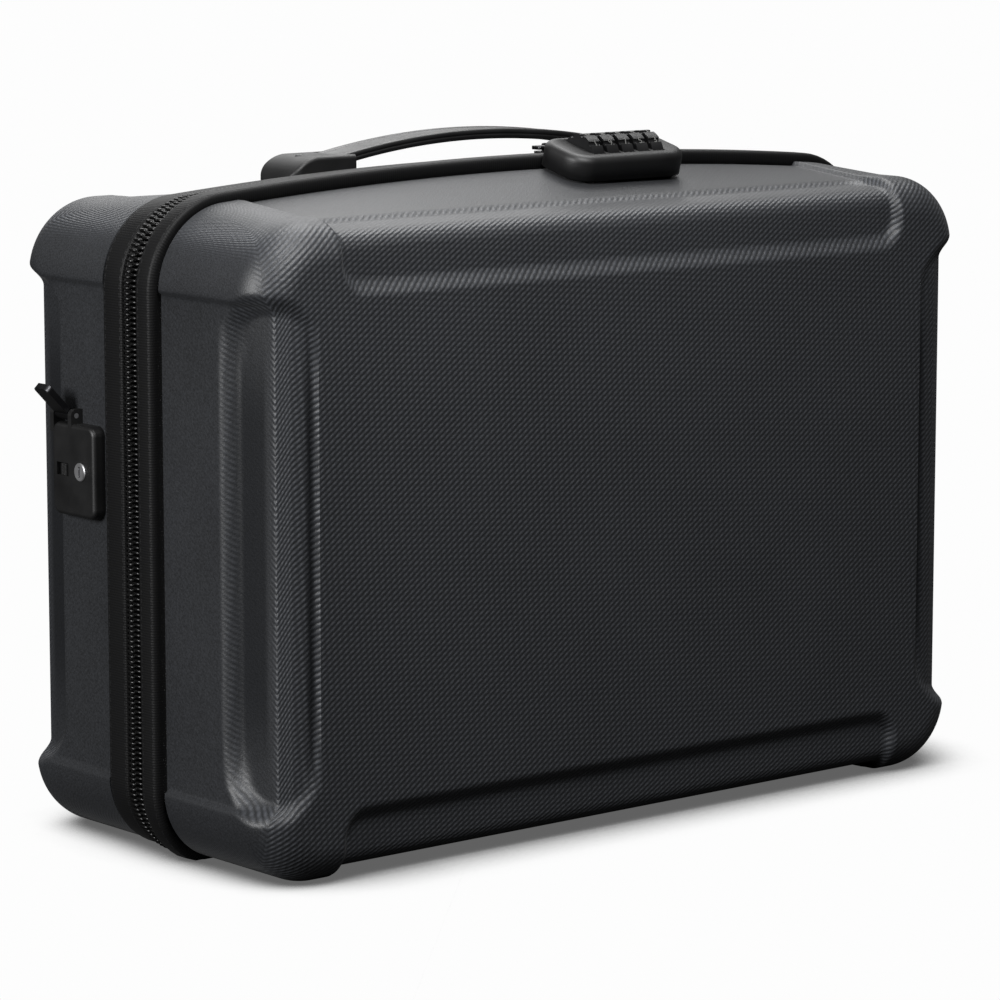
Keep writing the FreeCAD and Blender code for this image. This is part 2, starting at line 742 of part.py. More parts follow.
def lever_pin():
    """Pin through the ears and the lever."""
    px, py, pz = lever_pin_line()
    reach = lever_width / 2 + lever_eye_gap + lever_cheek
    return rod((px, py - reach, pz), (0, 1, 0), 2 * reach, lever_pin_radius)


def side_lock_plate():
    """Stiffening plate inside the rear shell, behind the keyed lock."""
    y0, y1, z0, z1 = side_lock_bounds()
    inner = left_panel + wall
    plate = rounded_box((inner, y0, z0), (inner + plate_thickness, y1, z1), (1, 0, 0), side_lock_corner)
    for y, z in side_screw_places():
        plate = plate.cut(rod((inner - overcut, y, z), (1, 0, 0), 2 * overcut, screw_radius))
    return plate


def side_lock_screws():
    """Screws of the keyed lock, heads inside the shell."""
    inner = left_panel + wall + plate_thickness
    screws = []
    for y, z in side_screw_places():
        shank = rod((inner, y, z), (-1, 0, 0), inner - left_panel + screw_bite, screw_radius)
        head = rod((inner, y, z), (1, 0, 0), screw_head_height, screw_head_radius)
        screws.append(shank.fuse(head))
    return Part.makeCompound(screws)


def front_shell():
    """Front half with the openings for the dial lock."""
    shell = half_shell(front_band_end)
    a, b, c, d = tub_bounds(tub_clearance)
    shell = shell.cut(on_lock_slope(box(a, b, c, d, top_panel - 2 * wall, top_panel + overcut)))
    for x, y in lock_screw_places():
        hole = rod((x, y, top_panel - 2 * wall), (0, 0, 1), 2 * overcut, screw_radius)
        shell = shell.cut(on_lock_slope(hole))
    return shell


def rear_shell():
    """Rear half with the holes for the handle's rivets and the keyed lock's screws."""
    shell = mirrored(half_shell(rear_band_end))
    for x, _ in rivet_places():
        hole = rod((x, handle_place, top_panel - 2 * wall), (0, 0, 1), 2 * overcut, rivet_radius)
        shell = shell.cut(hole)
    for y, z in side_screw_places():
        shell = shell.cut(rod((left_panel - overcut, y, z), (1, 0, 0), overcut + 2 * wall, screw_radius))
    return shell


def tray_block(level):
    """Foam that fills the front shell up to a level in front of the zip."""
    above = box(-case_width, case_width, -level, overcut, -overcut, 2 * case_height)
    return cavity(tray_clearance).cut(above)


def console_tray():
    """Foam in the rear shell with a pocket for the console and two finger scoops."""
    tray = mirrored(tray_block(rear_tray_level))
    low = case_height / 2 - console_height / 2
    pocket = rounded_box((-console_length / 2, rear_tray_level - overcut, low),
                         (console_length / 2, rear_tray_level + console_depth, low + console_height),
                         (0, 1, 0), console_corner)
    tray = tray.cut(pocket)
    for z in (low, low + console_height):
        start = (0, rear_tray_level - overcut, z)
        tray = tray.cut(rod(start, (0, 1, 0), overcut + console_depth, finger_radius))
    return tray.cut(fitting_room())


def fitting_room():
    """Room in the foam round the plates and fastener heads of the handle, the locks and their screws."""
    room = tray_clearance + plate_thickness + max(rivet_head_height, screw_head_height)
    reach = cap_width / 2 + tray_clearance
    tools = []
    for _, side in rivet_places():
        outer = handle_offset + side * (handle_span / 2 + cap_overlap)
        mouth = outer - side * cap_length
        tools.append(box(min(outer, mouth) - tray_clearance, max(outer, mouth) + tray_clearance,
                         handle_place - reach, handle_place + reach, top_panel - wall - room,
                         case_height + crown))
    y0, y1, z0, z1 = side_lock_bounds()
    tools.append(box(-case_width, left_panel + wall + room, y0 - tray_clearance, y1 + tray_clearance,
                     z0 - tray_clearance, z1 + tray_clearance))
    a, b, c, d = tub_bounds(2 * screw_head_radius + plate_margin + tray_clearance)
    floor = min(tub_bottom(), top_panel - wall - plate_thickness - screw_head_height)
    tools.append(on_lock_slope(box(a, b, c, d, floor - tray_clearance, case_height + crown)))
    return Part.makeCompound(tools)


def accessory_tray():
    """Foam in the front shell with two pockets for controllers and one for cables."""
    tray = tray_block(front_tray_level)
    depth = front_tray_level + pad_pocket_depth
    total = pad_pocket_height + pad_pocket_gap + cable_pocket_height
    low = (case_height - total) / 2
    right = pad_pocket_width + pad_pocket_gap / 2
    cable = rounded_box((-right, -depth, low), (right, 0, low + cable_pocket_height), (0, 1, 0),
                        pad_pocket_corner)
    tray = tray.cut(cable)
    z = low + cable_pocket_height + pad_pocket_gap
    for side in (-1, 1):
        x0 = pad_pocket_gap / 2 if side > 0 else -right
        tray = tray.cut(rounded_box((x0, -depth, z), (x0 + pad_pocket_width, 0, z + pad_pocket_height),
                                    (0, 1, 0), pad_pocket_corner))
    return tray.cut(fitting_room())


def build():
    """Every piece by the name of its node."""
    pieces = {
        "front_shell": front_shell(),
        "rear_shell": rear_shell(),
        "front_zip_tape": zip_tape(front_band_end, front_band_height),
        "rear_zip_tape": mirrored(zip_tape(rear_band_end, rear_band_height)),
        "front_zip_coil": coil_row(),
        "rear_zip_coil": mirrored(coil_row()),
        "hinge_cloth": hinge_cloth(),
        "handle_strap": handle_strap(),
        "handle_rivets": handle_rivets(),
        "lock_body": on_lock_slope(lock_body()),
        "lock_plate": on_lock_slope(lock_plate()),
        "lock_screws": on_lock_slope(lock_screws()),
        "dial_spindle": on_lock_slope(spindle()),
        "side_lock_body": side_lock_body(),
        "side_lock_plate": side_lock_plate(),
        "side_lock_screws": side_lock_screws(),
        "key_cylinder": key_cylinder(),
        "release_slide": release_slide(),
        "side_lock_lever": lever(),
        "lever_pin": lever_pin(),
        "console_tray": console_tray(),
        "accessory_tray": accessory_tray(),
    }
    for side, name in ((-1, "left"), (1, "right")):
        pieces["handle_cap_" + name] = handle_cap(side)
        pieces["handle_plate_" + name] = handle_plate(side)
        pieces["zip_slider_" + name] = zip_slider(side)
        pieces["zip_pull_" + name] = zip_pull(side)
    for index in range(dial_count):
        pieces["dial_%d" % (index + 1)] = on_lock_slope(dial(index))
    return pieces


os.makedirs("parts", exist_ok=True)
for name, shape in build().items():
    shape.translate(Vector(origin_shift, 0, 0))
    shape.exportStep("parts/" + name + ".step")
    print(name, "solids", len(shape.Solids), "valid", shape.isValid(), "volume", round(shape.Volume, 1))
print("origin shift", round(origin_shift, 3))
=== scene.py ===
import json
import logging
import math
from dataclasses import dataclass, field
from enum import Enum
from functools import partial
from typing import Callable, Optional, Sequence

import bmesh
import bpy
from mathutils import Matrix, Vector


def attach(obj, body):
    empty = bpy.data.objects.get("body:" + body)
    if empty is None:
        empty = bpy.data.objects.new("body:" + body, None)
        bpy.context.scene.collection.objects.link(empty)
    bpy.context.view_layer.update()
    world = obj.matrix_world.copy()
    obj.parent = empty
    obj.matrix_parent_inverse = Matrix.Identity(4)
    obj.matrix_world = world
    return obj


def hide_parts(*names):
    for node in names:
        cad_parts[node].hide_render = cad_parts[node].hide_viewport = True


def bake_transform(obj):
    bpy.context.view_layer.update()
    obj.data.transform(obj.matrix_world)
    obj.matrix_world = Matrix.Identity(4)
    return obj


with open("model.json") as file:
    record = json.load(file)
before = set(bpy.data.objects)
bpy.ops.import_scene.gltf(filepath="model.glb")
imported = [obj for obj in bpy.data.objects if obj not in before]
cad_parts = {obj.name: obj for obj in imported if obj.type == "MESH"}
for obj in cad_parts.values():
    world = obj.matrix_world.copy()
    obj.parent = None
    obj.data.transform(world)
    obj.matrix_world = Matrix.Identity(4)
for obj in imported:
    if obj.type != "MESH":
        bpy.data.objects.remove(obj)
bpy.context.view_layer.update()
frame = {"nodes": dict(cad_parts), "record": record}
Material, Piece, BMesh = bpy.types.Material, bpy.types.Object, bmesh.types.BMesh

# Hard-shell travel bag for a game console. Everything is in metres, in the frame of the solids:
# the zip lies in the plane Y = 0, the front half faces -Y, and the bag stands on Z = 0.

MM = 0.001
LEVEL = 1e-6  # sideways part of a normal below which a face counts as facing the front
log = logging.getLogger("console_travel_bag")


class Half(Enum):
    """The two halves of the case, by the sign of their depth."""

    FRONT = -1
    REAR = 1


class Side(Enum):
    """Left and right ends of a paired piece."""

    LEFT = -1
    RIGHT = 1


def linear(hex_colour: str) -> tuple[float, float, float, float]:
    """Turn an sRGB hex colour into linear RGBA.

    Args:
        hex_colour: Six hex digits, with or without a leading hash.

    Returns:
        Linear red, green, blue and an alpha of 1.
    """
    digits = hex_colour.lstrip("#")
    parts = [int(digits[i:i + 2], 16) / 255 for i in (0, 2, 4)]
    flat = [c / 12.92 if c <= 0.04045 else ((c + 0.055) / 1.055) ** 2.4 for c in parts]
    return (flat[0], flat[1], flat[2], 1.0)


def add_node(tree: bpy.types.NodeTree, kind: str, feeds: dict | Sequence = (),
             **settings: object) -> bpy.types.Node:
    """Add a node with its settings and what feeds its sockets.

    Args:
        tree: Node tree that gets the node.
        kind: Node type name after its ShaderNode prefix, with its operation after a dot.
        feeds: A value, an output, or a node whose first output is meant, for each socket by name or in order.
        settings: Properties of the node itself.

    Returns:
        The new node.
    """
    family, _, operation = kind.partition(".")
    made = tree.nodes.new("ShaderNode" + family)
    if operation:
        made.operation = operation
    for name, value in settings.items():
        setattr(made, name, value)
    for socket, value in feeds.items() if isinstance(feeds, dict) else enumerate(feeds):
        source = value.outputs[0] if isinstance(value, bpy.types.Node) else value
        if isinstance(source, bpy.types.NodeSocket):
            tree.links.new(source, made.inputs[socket])
        else:
            made.inputs[socket].default_value = source
    return made


def start_tree(owner: bpy.types.ID) -> Callable[..., bpy.types.Node]:
    """Empty the node tree of a material or world.

    Args:
        owner: Material or world whose nodes are made anew.

    Returns:
        The node-adding helper, bound to that tree.
    """
    owner.use_nodes = True
    owner.node_tree.nodes.clear()
    return partial(add_node, owner.node_tree)


def smooth(low: float, high: float, value: float) -> float:
    """Smooth step from 0 at low to 1 at high."""
    share = min(max((value - low) / (high - low), 0.0), 1.0)
    return share * share * (3 - 2 * share)


@dataclass(frozen=True)
class CaseForm:
    """Sizes of the closed case, measured from its own middle."""

    middle: Vector = field(default_factory=lambda: Vector((7.494 * MM, 0.0, 160 * MM)))
    half_width: float = 235 * MM
    half_height: float = 160 * MM
    half_depth: float = 103 * MM
    corner: float = 38 * MM
    rim: float = 20 * MM
    bumper: float = 50 * MM
    side_bumper: float = 38 * MM
    crown: float = 12 * MM
    crown_start: float = 24.95 * MM
    crown_end: float = 70 * MM
    panel_recess: float = 2.5 * MM
    strip_reach: float = 33 * MM
    parting: float = 0.4 * MM
    floor_clearance: float = 0.3 * MM

    @property
    def straight_x(self) -> float:
        """Half length of the straight runs along the width."""
        return self.half_width - self.corner

    @property
    def straight_z(self) -> float:
        """Half length of the straight runs along the height."""
        return self.half_height - self.corner

    @property
    def corner_arc(self) -> float:
        """Length of the outline round one corner."""
        return self.corner * math.pi / 2

    @property
    def outline(self) -> float:
        """Length of the whole outline."""
        return 4 * (self.straight_x + self.straight_z + self.corner_arc)

    @property
    def rim_arc(self) -> float:
        """Half the length of the rounding between side and front."""
        return self.rim * math.pi / 4

    @property
    def strip_span(self) -> float:
        """Half width of a sunk strip, measured round the edge."""
        return self.rim_arc - self.rim + self.strip_reach

    def crown_at(self, x: float) -> float:
        """Rise of the arched top at the zip, at a place across the width."""
        radius = (self.half_width ** 2 + self.crown ** 2) / (2 * self.crown)
        return max(self.crown - radius + math.sqrt(radius ** 2 - x ** 2), 0.0)

    def rise(self, place: Vector) -> float:
        """How far the arched top lifts a place on the plain form.

        Args:
            place: Place from the case's middle.

        Returns:
            Lift in metres, none on the lower half.
        """
        if place.z < 0:
            return 0.0
        share = (self.crown_end - abs(place.y)) / (self.crown_end - self.crown_start)
        return self.crown_at(place.x) * min(max(share, 0.0), 1.0)

    def lock_slope(self, x: float) -> Matrix:
        """Turn and lift that sets a level piece on the sloping top panel of the front half.

        Args:
            x: Middle of the piece across the width.

        Returns:
            Matrix for places from the case's middle.
        """
        lift = self.crown_at(x)
        angle = math.atan2(lift, self.crown_end - self.crown_start)
        pivot = Vector((0, -self.crown_start, self.half_height - self.panel_recess))
        turn = Matrix.Translation(pivot) @ Matrix.Rotation(angle, 4, "X") @ Matrix.Translation(-pivot)
        return Matrix.Translation((0, 0, lift)) @ turn

    def along(self, x: float, z: float) -> float:
        """Distance round the outline, anticlockwise from the middle of the bottom.

        Args:
            x: Place across the width, from the case's middle.
            z: Place up the height, from the case's middle.

        Returns:
            Distance along the outline in metres.
        """
        sx, sz = self.straight_x, self.straight_z
        if z < 0 and abs(x) <= sx:
            return x
        turn = math.atan2(max(abs(x) - sx, 0.0), max(abs(z) - sz, 0.0))
        quarter = min(abs(x), sx) + self.corner * turn + sz - min(abs(z), sz)
        right = quarter if z < 0 else self.outline / 2 - quarter
        return right if x > 0 else self.outline - right

    def place(self, distance: float) -> tuple[Vector, Vector, Vector]:
        """Point on the outline at a distance, with the way along and the way outwards.

        Args:
            distance: Distance round the outline from the middle of the bottom.

        Returns:
            Point from the case's middle, tangent and outward normal.
        """
        sx, sz, arc = self.straight_x, self.straight_z, self.corner_arc
        runs = [(sx, Vector((0, 0, -sz))), (2 * sz, Vector((sx, 0, -sz))), (2 * sx, Vector((sx, 0, sz))),
                (2 * sz, Vector((-sx, 0, sz))), (sx, Vector((-sx, 0, -sz)))]
        for quarter, (length, start) in enumerate(runs):
            turn = Matrix.Rotation(-math.pi / 2 * quarter, 3, "Y")
            onward, outward = turn @ Vector((1, 0, 0)), turn @ Vector((0, 0, -1))
            if distance <= length:
                return start + onward * distance + outward * self.corner, onward, outward
            distance -= length
            if distance <= arc:
                bend = Matrix.Rotation(-distance / self.corner, 3, "Y")
                centre = start + onward * length
                return centre + bend @ outward * self.corner, bend @ onward, bend @ outward
            distance -= arc
        return self.place(0.0)


FORM = CaseForm()


def sideways(normal: Vector) -> tuple[Vector, float]:
    """Direction in which a normal leans away from the depth, and how far it leans."""
    lean = math.hypot(normal.x, normal.z)
    return Vector((normal.x, 0, normal.z)) / lean if lean > LEVEL else Vector(), lean


def finish_mesh(bm: BMesh, name: str, materials: Sequence[Material],
                even: bool = True) -> Piece:
    """Turn a bmesh that is built from the case's middle into a finished piece in the shared frame.

    Args:
        bm: Mesh to keep; it is freed.
        name: Name of the piece.
        materials: Materials in slot order.
        even: Whether faces are shaded smooth.

    Returns:
        The new object, at the origin.
    """
    bmesh.ops.translate(bm, verts=bm.verts, vec=FORM.middle)
    mesh = bpy.data.meshes.new(name)
    bm.to_mesh(mesh)
    bm.free()
    for face in mesh.polygons:
        face.use_smooth = even
    for material in materials:
        mesh.materials.append(material)
    piece = bpy.data.objects.new(name, mesh)
    bpy.context.collection.objects.link(piece)
    return piece


def settle(piece: Piece, body: str, nodes: Sequence[str] = ()) -> Piece:
    """Give a piece its body and the solids that it stands for."""
    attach(piece, body)
    if nodes:
        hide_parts(*nodes)
    log.info("%s rides on %s", piece.name, body)
    return piece


@dataclass(frozen=True)
class TwillLaminate:
    """Polyester twill laminated on compression-moulded foam: matt, with embossed diagonal ribs and a faint
    sheen.
    """

    name: str = "twill_laminate_on_pressed_foam"
    valley: str = "#121315"
    crest: str = "#3c3e42"
    diagonal: float = 0.75
    stagger: float = 2.3
    rib_mm: float = 3.0
    dash_mm: float = 5.2
    roughness: float = 0.49

    def material(self) -> Material:
        """Make the material.

        Returns:
            Material that reads Object coordinates and the piece's own rib attribute.
        """
        made = bpy.data.materials.new(self.name)
        node = start_tree(made)
        place = node("TexCoord").outputs["Object"]
        ribbed = node("Attribute", attribute_name="ribbed").outputs["Fac"]
        # painted shade, marked on each vertex by the moulded shell
        painted_shade = node("Attribute", attribute_name="painted_shade").outputs["Fac"]
        # threads wander by about a third of a millimetre
        wander = node("TexNoise", {"Vector": place, "Scale": 420.0, "Detail": 2.0})
        drift = node("Math.MULTIPLY", [wander, 0.0007])
        cloth = node("Attribute", attribute_name="weave").outputs["Vector"]
        across = node("VectorMath.DOT_PRODUCT", [cloth, (self.diagonal, -1.0, 0.0)])
        loose = node("Math.ADD", [across.outputs["Value"], drift])
        row = node("Math.MULTIPLY", [loose, 1000 / self.rib_mm])
        rib = node("Math.SINE", [node("Math.MULTIPLY", [row, math.tau])])
        high = node("Math.MULTIPLY_ADD", [rib, 0.5, 0.5])
        # each rib is a run of short floats, stepped from row to row
        whole = node("Math.FLOOR", [node("Math.ADD", [row, 0.25])])
        lengthwise = node("VectorMath.DOT_PRODUCT", [cloth, (1.0, self.diagonal, 0.0)])
        paced = node("Math.MULTIPLY", [lengthwise.outputs["Value"], 1000 * math.tau / self.dash_mm])
        stepped = node("Math.MULTIPLY_ADD", [whole, self.stagger, paced])
        dash = node("Math.SINE", [stepped])
        worn = node("Math.MULTIPLY_ADD", [dash, 0.22, 0.78])
        floated = node("Math.MULTIPLY", [high, worn])
        woven = node("Math.MULTIPLY", [floated, ribbed])
        # fine embossed grain between the ribs, and slow unevenness of the moulding
        grain = node("TexNoise", {"Vector": place, "Scale": 1100.0, "Detail": 3.0})
        sway = node("TexNoise", {"Vector": place, "Scale": 14.0, "Detail": 2.0})
        bare = node("MapRange", {"Value": ribbed, "To Min": 0.9, "To Max": 0.2})
        level = node("Math.SUBTRACT", [grain, 0.41])
        shade = node("Math.MULTIPLY_ADD", [level, bare, woven])
        patchy = node("Math.MULTIPLY_ADD", [sway, 0.22, shade])
        # painted shade: darker tint and lower specular where the shell marks shade, on the side facet and
        # beside the front groove of an upright strip
        shade_dimming = node("MapRange", {"Value": painted_shade, "To Min": 1.0, "To Max": 0.15})
        flat = node("Math.MULTIPLY", [patchy, shade_dimming])
        shine = node("MapRange", {"Value": painted_shade, "To Min": 0.45, "To Max": 0.1})
        tint = node("Mix", {"Factor": flat, 6: linear(self.valley), 7: linear(self.crest)}, data_type="RGBA")
        ridge = node("Bump", {"Height": woven, "Distance": 0.0005, "Strength": 0.5})
        press = node("Bump", {"Height": grain, "Distance": 0.0002, "Strength": 0.6, "Normal": ridge})
        surface = node("BsdfPrincipled", {
            "Base Color": tint.outputs[2], "Roughness": self.roughness, "Specular IOR Level": shine,
            "Sheen Weight": 0.03, "Sheen Roughness": 0.45, "Normal": press})
        node("OutputMaterial", {"Surface": surface})
        return made


@dataclass(frozen=True)
class Grained:
    """Moulded, cut, plated or knitted finish: a tint with grain, unevenness and gloss of its own."""

    name: str
    dark: str
    light: str
    grain_mm: float
    depth_mm: float
    roughness: float
    metallic: float = 0.0
    specular: float = 0.5
    sheen: float = 0.0
    cells: bool = False

    def material(self) -> Material:
        """Make the material.

        Returns:
            Material that reads Object coordinates.
        """
        made = bpy.data.materials.new(self.name)
        node = start_tree(made)
        place = node("TexCoord").outputs["Object"]
        pace = 1000 / self.grain_mm
        if self.cells:
            grit = node("TexVoronoi", {"Vector": place, "Scale": pace})
        else:
            grit = node("TexNoise", {"Vector": place, "Scale": pace, "Detail": 3.0})
        sway = node("TexNoise", {"Vector": place, "Scale": 60.0, "Detail": 3.0})
        mixed = node("Math.MULTIPLY", [grit, 0.5])
        shade = node("Math.MULTIPLY_ADD", [sway, 0.5, mixed])
        tint = node("Mix", {"Factor": shade, 6: linear(self.dark), 7: linear(self.light)}, data_type="RGBA")
        # polish varies a little from place to place
        dull, vary = self.roughness, 0.12
        wear = node("MapRange", {"Value": sway, "From Min": 0.3, "From Max": 0.7,
                                 "To Min": dull * (1 - vary), "To Max": min(dull * (1 + vary), 1.0)})
        bump = node("Bump", {"Height": grit, "Distance": self.depth_mm * MM, "Strength": 0.7})
        surface = node("BsdfPrincipled", {
            "Base Color": tint.outputs[2], "Roughness": wear, "Metallic": self.metallic,
            "Specular IOR Level": self.specular, "Sheen Weight": self.sheen, "Normal": bump})
        node("OutputMaterial", {"Surface": surface})
        return made


@dataclass(frozen=True)
class BoundTape:
    """Black polyester zip tape with a bound edge: cross ribs, two rows of thread and a satin shine."""

    name: str
    seams_mm: tuple[float, ...]
    dark: str = "#050505"
    light: str = "#131314"
    rib_mm: float = 1.3
    stitch_mm: float = 4.2
    thread_mm: float = 0.45

    def material(self) -> Material:
        """Make the material.

        Returns:
            Material that reads Object coordinates and the tape's own distance attribute.
        """
        made = bpy.data.materials.new(self.name)
        node = start_tree(made)
        place = node("TexCoord").outputs["Object"]
        along = node("Attribute", attribute_name="along").outputs["Fac"]
        depth = node("SeparateXYZ", [place]).outputs["Y"]
        rib = node("Math.SINE", [node("Math.MULTIPLY", [along, 1000 * math.tau / self.rib_mm])])
        weave = node("Math.MULTIPLY_ADD", [rib, 0.12, 0.2])
        pulse = node("Math.SINE", [node("Math.MULTIPLY", [along, 1000 * math.tau / self.stitch_mm])])
        thread = node("MapRange", {"Value": pulse, "From Min": -0.5, "From Max": 0.1})
        # rows of thread: short beads along each seam
        height, half = weave, self.thread_mm * MM
        for seam in self.seams_mm:
            near = node("Math.ABSOLUTE", [node("Math.SUBTRACT", [depth, seam * MM])])
            line = node("MapRange", {"Value": near, "From Min": half, "From Max": 0.2 * half})
            bead = node("Math.MULTIPLY", [line, thread])
            height = node("Math.MULTIPLY_ADD", [bead, 0.8, height])
        fuzz = node("TexNoise", {"Vector": place, "Scale": 900.0, "Detail": 3.0})
        shade = node("Math.MULTIPLY_ADD", [fuzz, 0.35, height])
        tint = node("Mix", {"Factor": shade, 6: linear(self.dark), 7: linear(self.light)}, data_type="RGBA")
        bump = node("Bump", {"Height": shade, "Distance": 0.0003, "Strength": 0.7})
        surface = node("BsdfPrincipled", {
            "Base Color": tint.outputs[2], "Roughness": 0.55, "Specular IOR Level": 0.18, "Sheen Weight": 0.01,
            "Normal": bump})
        node("OutputMaterial", {"Surface": surface})
        return made


@dataclass(frozen=True)
class SunkStrip:
    """Section and ends of one kind of sunk strip: two facets that meet in an arris along a rounded edge.

    The axis is 0 for upright strips and 2 for level ones. The arris is given from the side and from the front.
    Sinks are depths at the strip's borders, and slopes are the widths of the walls that lead down to them.
    """

    axis: int
    arris: tuple[float, float]
    side_sink: float
    front_sink: float
    side_slope: float
    front_slope: float
    end_round: float
    end_slope: float
    facets: float
    ease: float
    groove: float = 0.0
    groove_at: float = 2.4 * MM
    groove_spread: float = 1.7 * MM
    round_sink: float = 6 * MM


@dataclass
class HalfShell:
    """One moulded half: bumpers at the corners, recessed panels and a sunk strip along each front edge.

    The cloth loses plain_share of its ribs on plain faces; shade is painted dark on the side facet and beside
    the front groove of an upright strip.
    """

    half: Half
    seat_end: float
    wall: float = 3.4 * MM
    fine: float = 1.2 * MM
    coarse: float = 11 * MM
    step: float = 2.2 * MM
    end_fade: float = 12 * MM
    slope_blend: float = 8 * MM
    plain_share: float = 0.95
    fold_at: float = 2.8 * MM
    fold_spread: float = 2.6 * MM
    upright: SunkStrip = SunkStrip(
        axis=0, arris=(13 * MM, 7 * MM), side_sink=9 * MM, front_sink=1.1 * MM, side_slope=9 * MM,
        front_slope=1.8 * MM, end_round=24 * MM, end_slope=12 * MM, facets=1.0, ease=0.6 * MM, groove=1.6 * MM)
    level: SunkStrip = SunkStrip(
        axis=2, arris=(6 * MM, 4.5 * MM), side_sink=3.8 * MM, front_sink=4.5 * MM, side_slope=6 * MM,
        front_slope=9 * MM, end_round=13 * MM, end_slope=6 * MM, facets=0.75, ease=4 * MM)
    hole: Optional[tuple[float, float, float, float]] = None

    def lines(self, half: float, fine_from: float) -> list[float]:
        """Places of the cuts along one direction, close together near the bumpers."""
        places = [i * self.coarse for i in range(int(fine_from / self.coarse) + 1)]
        count = int((half - fine_from) / self.fine)
        places += [fine_from + i * (half - fine_from) / count for i in range(count)]
        return sorted({round(sign * p, 7) for p in places for sign in (-1, 1)})

    def blank(self) -> BMesh:
        """Open box of the half's outside size, cut into a grid that is fine where the form bends.

        Returns:
            Mesh measured from the case's middle, as a front half.
        """
        form = FORM
        depth = form.half_depth - form.parting
        bm = bmesh.new()
        bmesh.ops.create_cube(bm, size=1.0)
        bmesh.ops.scale(bm, vec=(2 * form.half_width, depth, 2 * form.half_height), verts=bm.verts)
        bmesh.ops.translate(bm, vec=(0, -form.parting - depth / 2, 0), verts=bm.verts)
        mouth = [f for f in bm.faces if f.normal.y > 0.5]
        bmesh.ops.delete(bm, geom=mouth, context="FACES")
        before = 9 * MM
        cuts = [(0, p) for p in self.lines(form.half_width, form.half_width - form.bumper - before)]
        cuts += [(2, p) for p in self.lines(form.half_height, form.half_height - form.side_bumper - before)]
        fine_depth = form.strip_reach + 10 * MM
        cuts += [(1, fine_depth - form.half_depth - i * self.fine) for i in range(int(fine_depth / self.fine))]
        cuts += [(1, -self.seat_end + d * MM) for d in (-0.9, -0.4, 0.0, 0.4)]
        cuts += [(1, -form.crown_start - step * 4 * MM) for step in range(9)]
        if self.hole:
            cuts += [(0, self.hole[0]), (0, self.hole[1]), (1, self.hole[2]), (1, self.hole[3])]
        for axis, level in cuts:
            point, normal = [0.0] * 3, [0.0] * 3
            point[axis], normal[axis] = level, 1.0
            bmesh.ops.bisect_plane(bm, geom=bm.verts[:] + bm.edges[:] + bm.faces[:], dist=1e-7,
                                   plane_co=point, plane_no=normal)
        return bm

    def on_form(self, p: Vector) -> tuple[Vector, Vector, Vector]:
        """Nearest place on the plain rounded case.

        Args:
            p: Place on the blank.

        Returns:
            Place on the rounded form, its outward normal, and the point that the rounding turns about.
        """
        form = FORM
        near_x = min(max(p.x, -form.straight_x), form.straight_x)
        near_z = min(max(p.z, -form.straight_z), form.straight_z)
        away = Vector((p.x - near_x, 0, p.z - near_z))
        tight = form.corner - form.rim
        core = Vector((p.x, 0, p.z))
        if away.length > tight:
            core = Vector((near_x, 0, near_z)) + away.normalized() * tight
        core.y = max(p.y, -(form.half_depth - form.rim))
        normal = (p - core).normalized()
        return core + normal * form.rim, normal, core

    def round_edge(self, axis: int, normal: Vector, core: Vector) -> Optional[float]:
        """Distance of a place from the middle of a rounded edge, measured round the edge.

        Args:
            axis: 0 for the upright edges, 2 for the level ones.
            normal: Outward normal at the place.
            core: Point that the rounding turns about.

        Returns:
            Distance in metres, positive towards the sides, or nothing where another edge is nearer.
        """
        form, arc = FORM, FORM.rim_arc
        lean = math.hypot(normal.x, normal.z)
        if lean < LEVEL:
            half = form.half_width if axis == 0 else form.half_height
            return -arc - (half - form.rim - abs(core[axis]))
        if abs(normal[axis]) < abs(normal[2 - axis]):
            return None
        if normal.y > -LEVEL:
            return arc + core.y + form.half_depth - form.rim
        return form.rim * (math.atan2(lean, -normal.y) - math.pi / 4)

    def section(self, strip: SunkStrip, across: float, s: float) -> tuple[float, float]:
        """Place on the two facets of a strip, before their arris is eased.

        Args:
            strip: Kind of strip.
            across: Half size of the case across the edge.
            s: Distance from the middle of the edge, positive towards the side.

        Returns:
            Distance outwards and depth, in metres, on a straight edge.
        """
        form, arris = FORM, strip.arris
        arc, reach = form.rim_arc, form.strip_span
        share = min(abs(s) / reach, 1.0)
        short = max(0.0, 1 - abs(s) / arc)
        if s >= 0:
            out = across - arris[0] - (strip.side_sink - arris[0]) * share
            return out, form.half_depth - form.rim + (form.rim - arris[1]) * short + min(arc - s, 0.0)
        depth = form.half_depth - arris[1] - (strip.front_sink - arris[1]) * share
        depth -= strip.groove * math.exp(-((s + reach - strip.groove_at) / strip.groove_spread) ** 2)
        return across - form.rim + (form.rim - arris[0]) * short + min(arc + s, 0.0), depth

    def facet(self, strip: SunkStrip, across: float, s: float) -> tuple[float, float]:
        """How far a sunk strip lies from the rounded form.

        Args:
            strip: Kind of strip.
            across: Half size of the case across the edge.
            s: Distance from the middle of the edge, positive towards the side.

        Returns:
            Move outwards and move in depth, in metres, both on a straight edge.
        """
        form, arc = FORM, FORM.rim_arc
        turn = min(max(s / form.rim + math.pi / 4, 0.0), math.pi / 2)
        out = across - form.rim + form.rim * math.sin(turn) + min(arc + s, 0.0)
        depth = form.half_depth - form.rim + form.rim * math.cos(turn) + min(arc - s, 0.0)
        spots = [self.section(strip, across, s + i * strip.ease) for i in (-2, -1, 0, 1, 2)]
        goal_out, goal_depth = (sum(spot[i] for spot in spots) / len(spots) for i in (0, 1))
        soft_out, soft_depth = -strip.round_sink * math.sin(turn), -strip.round_sink * math.cos(turn)
        return (soft_out + (goal_out - out - soft_out) * strip.facets,
                -soft_depth + (depth - goal_depth + soft_depth) * strip.facets)

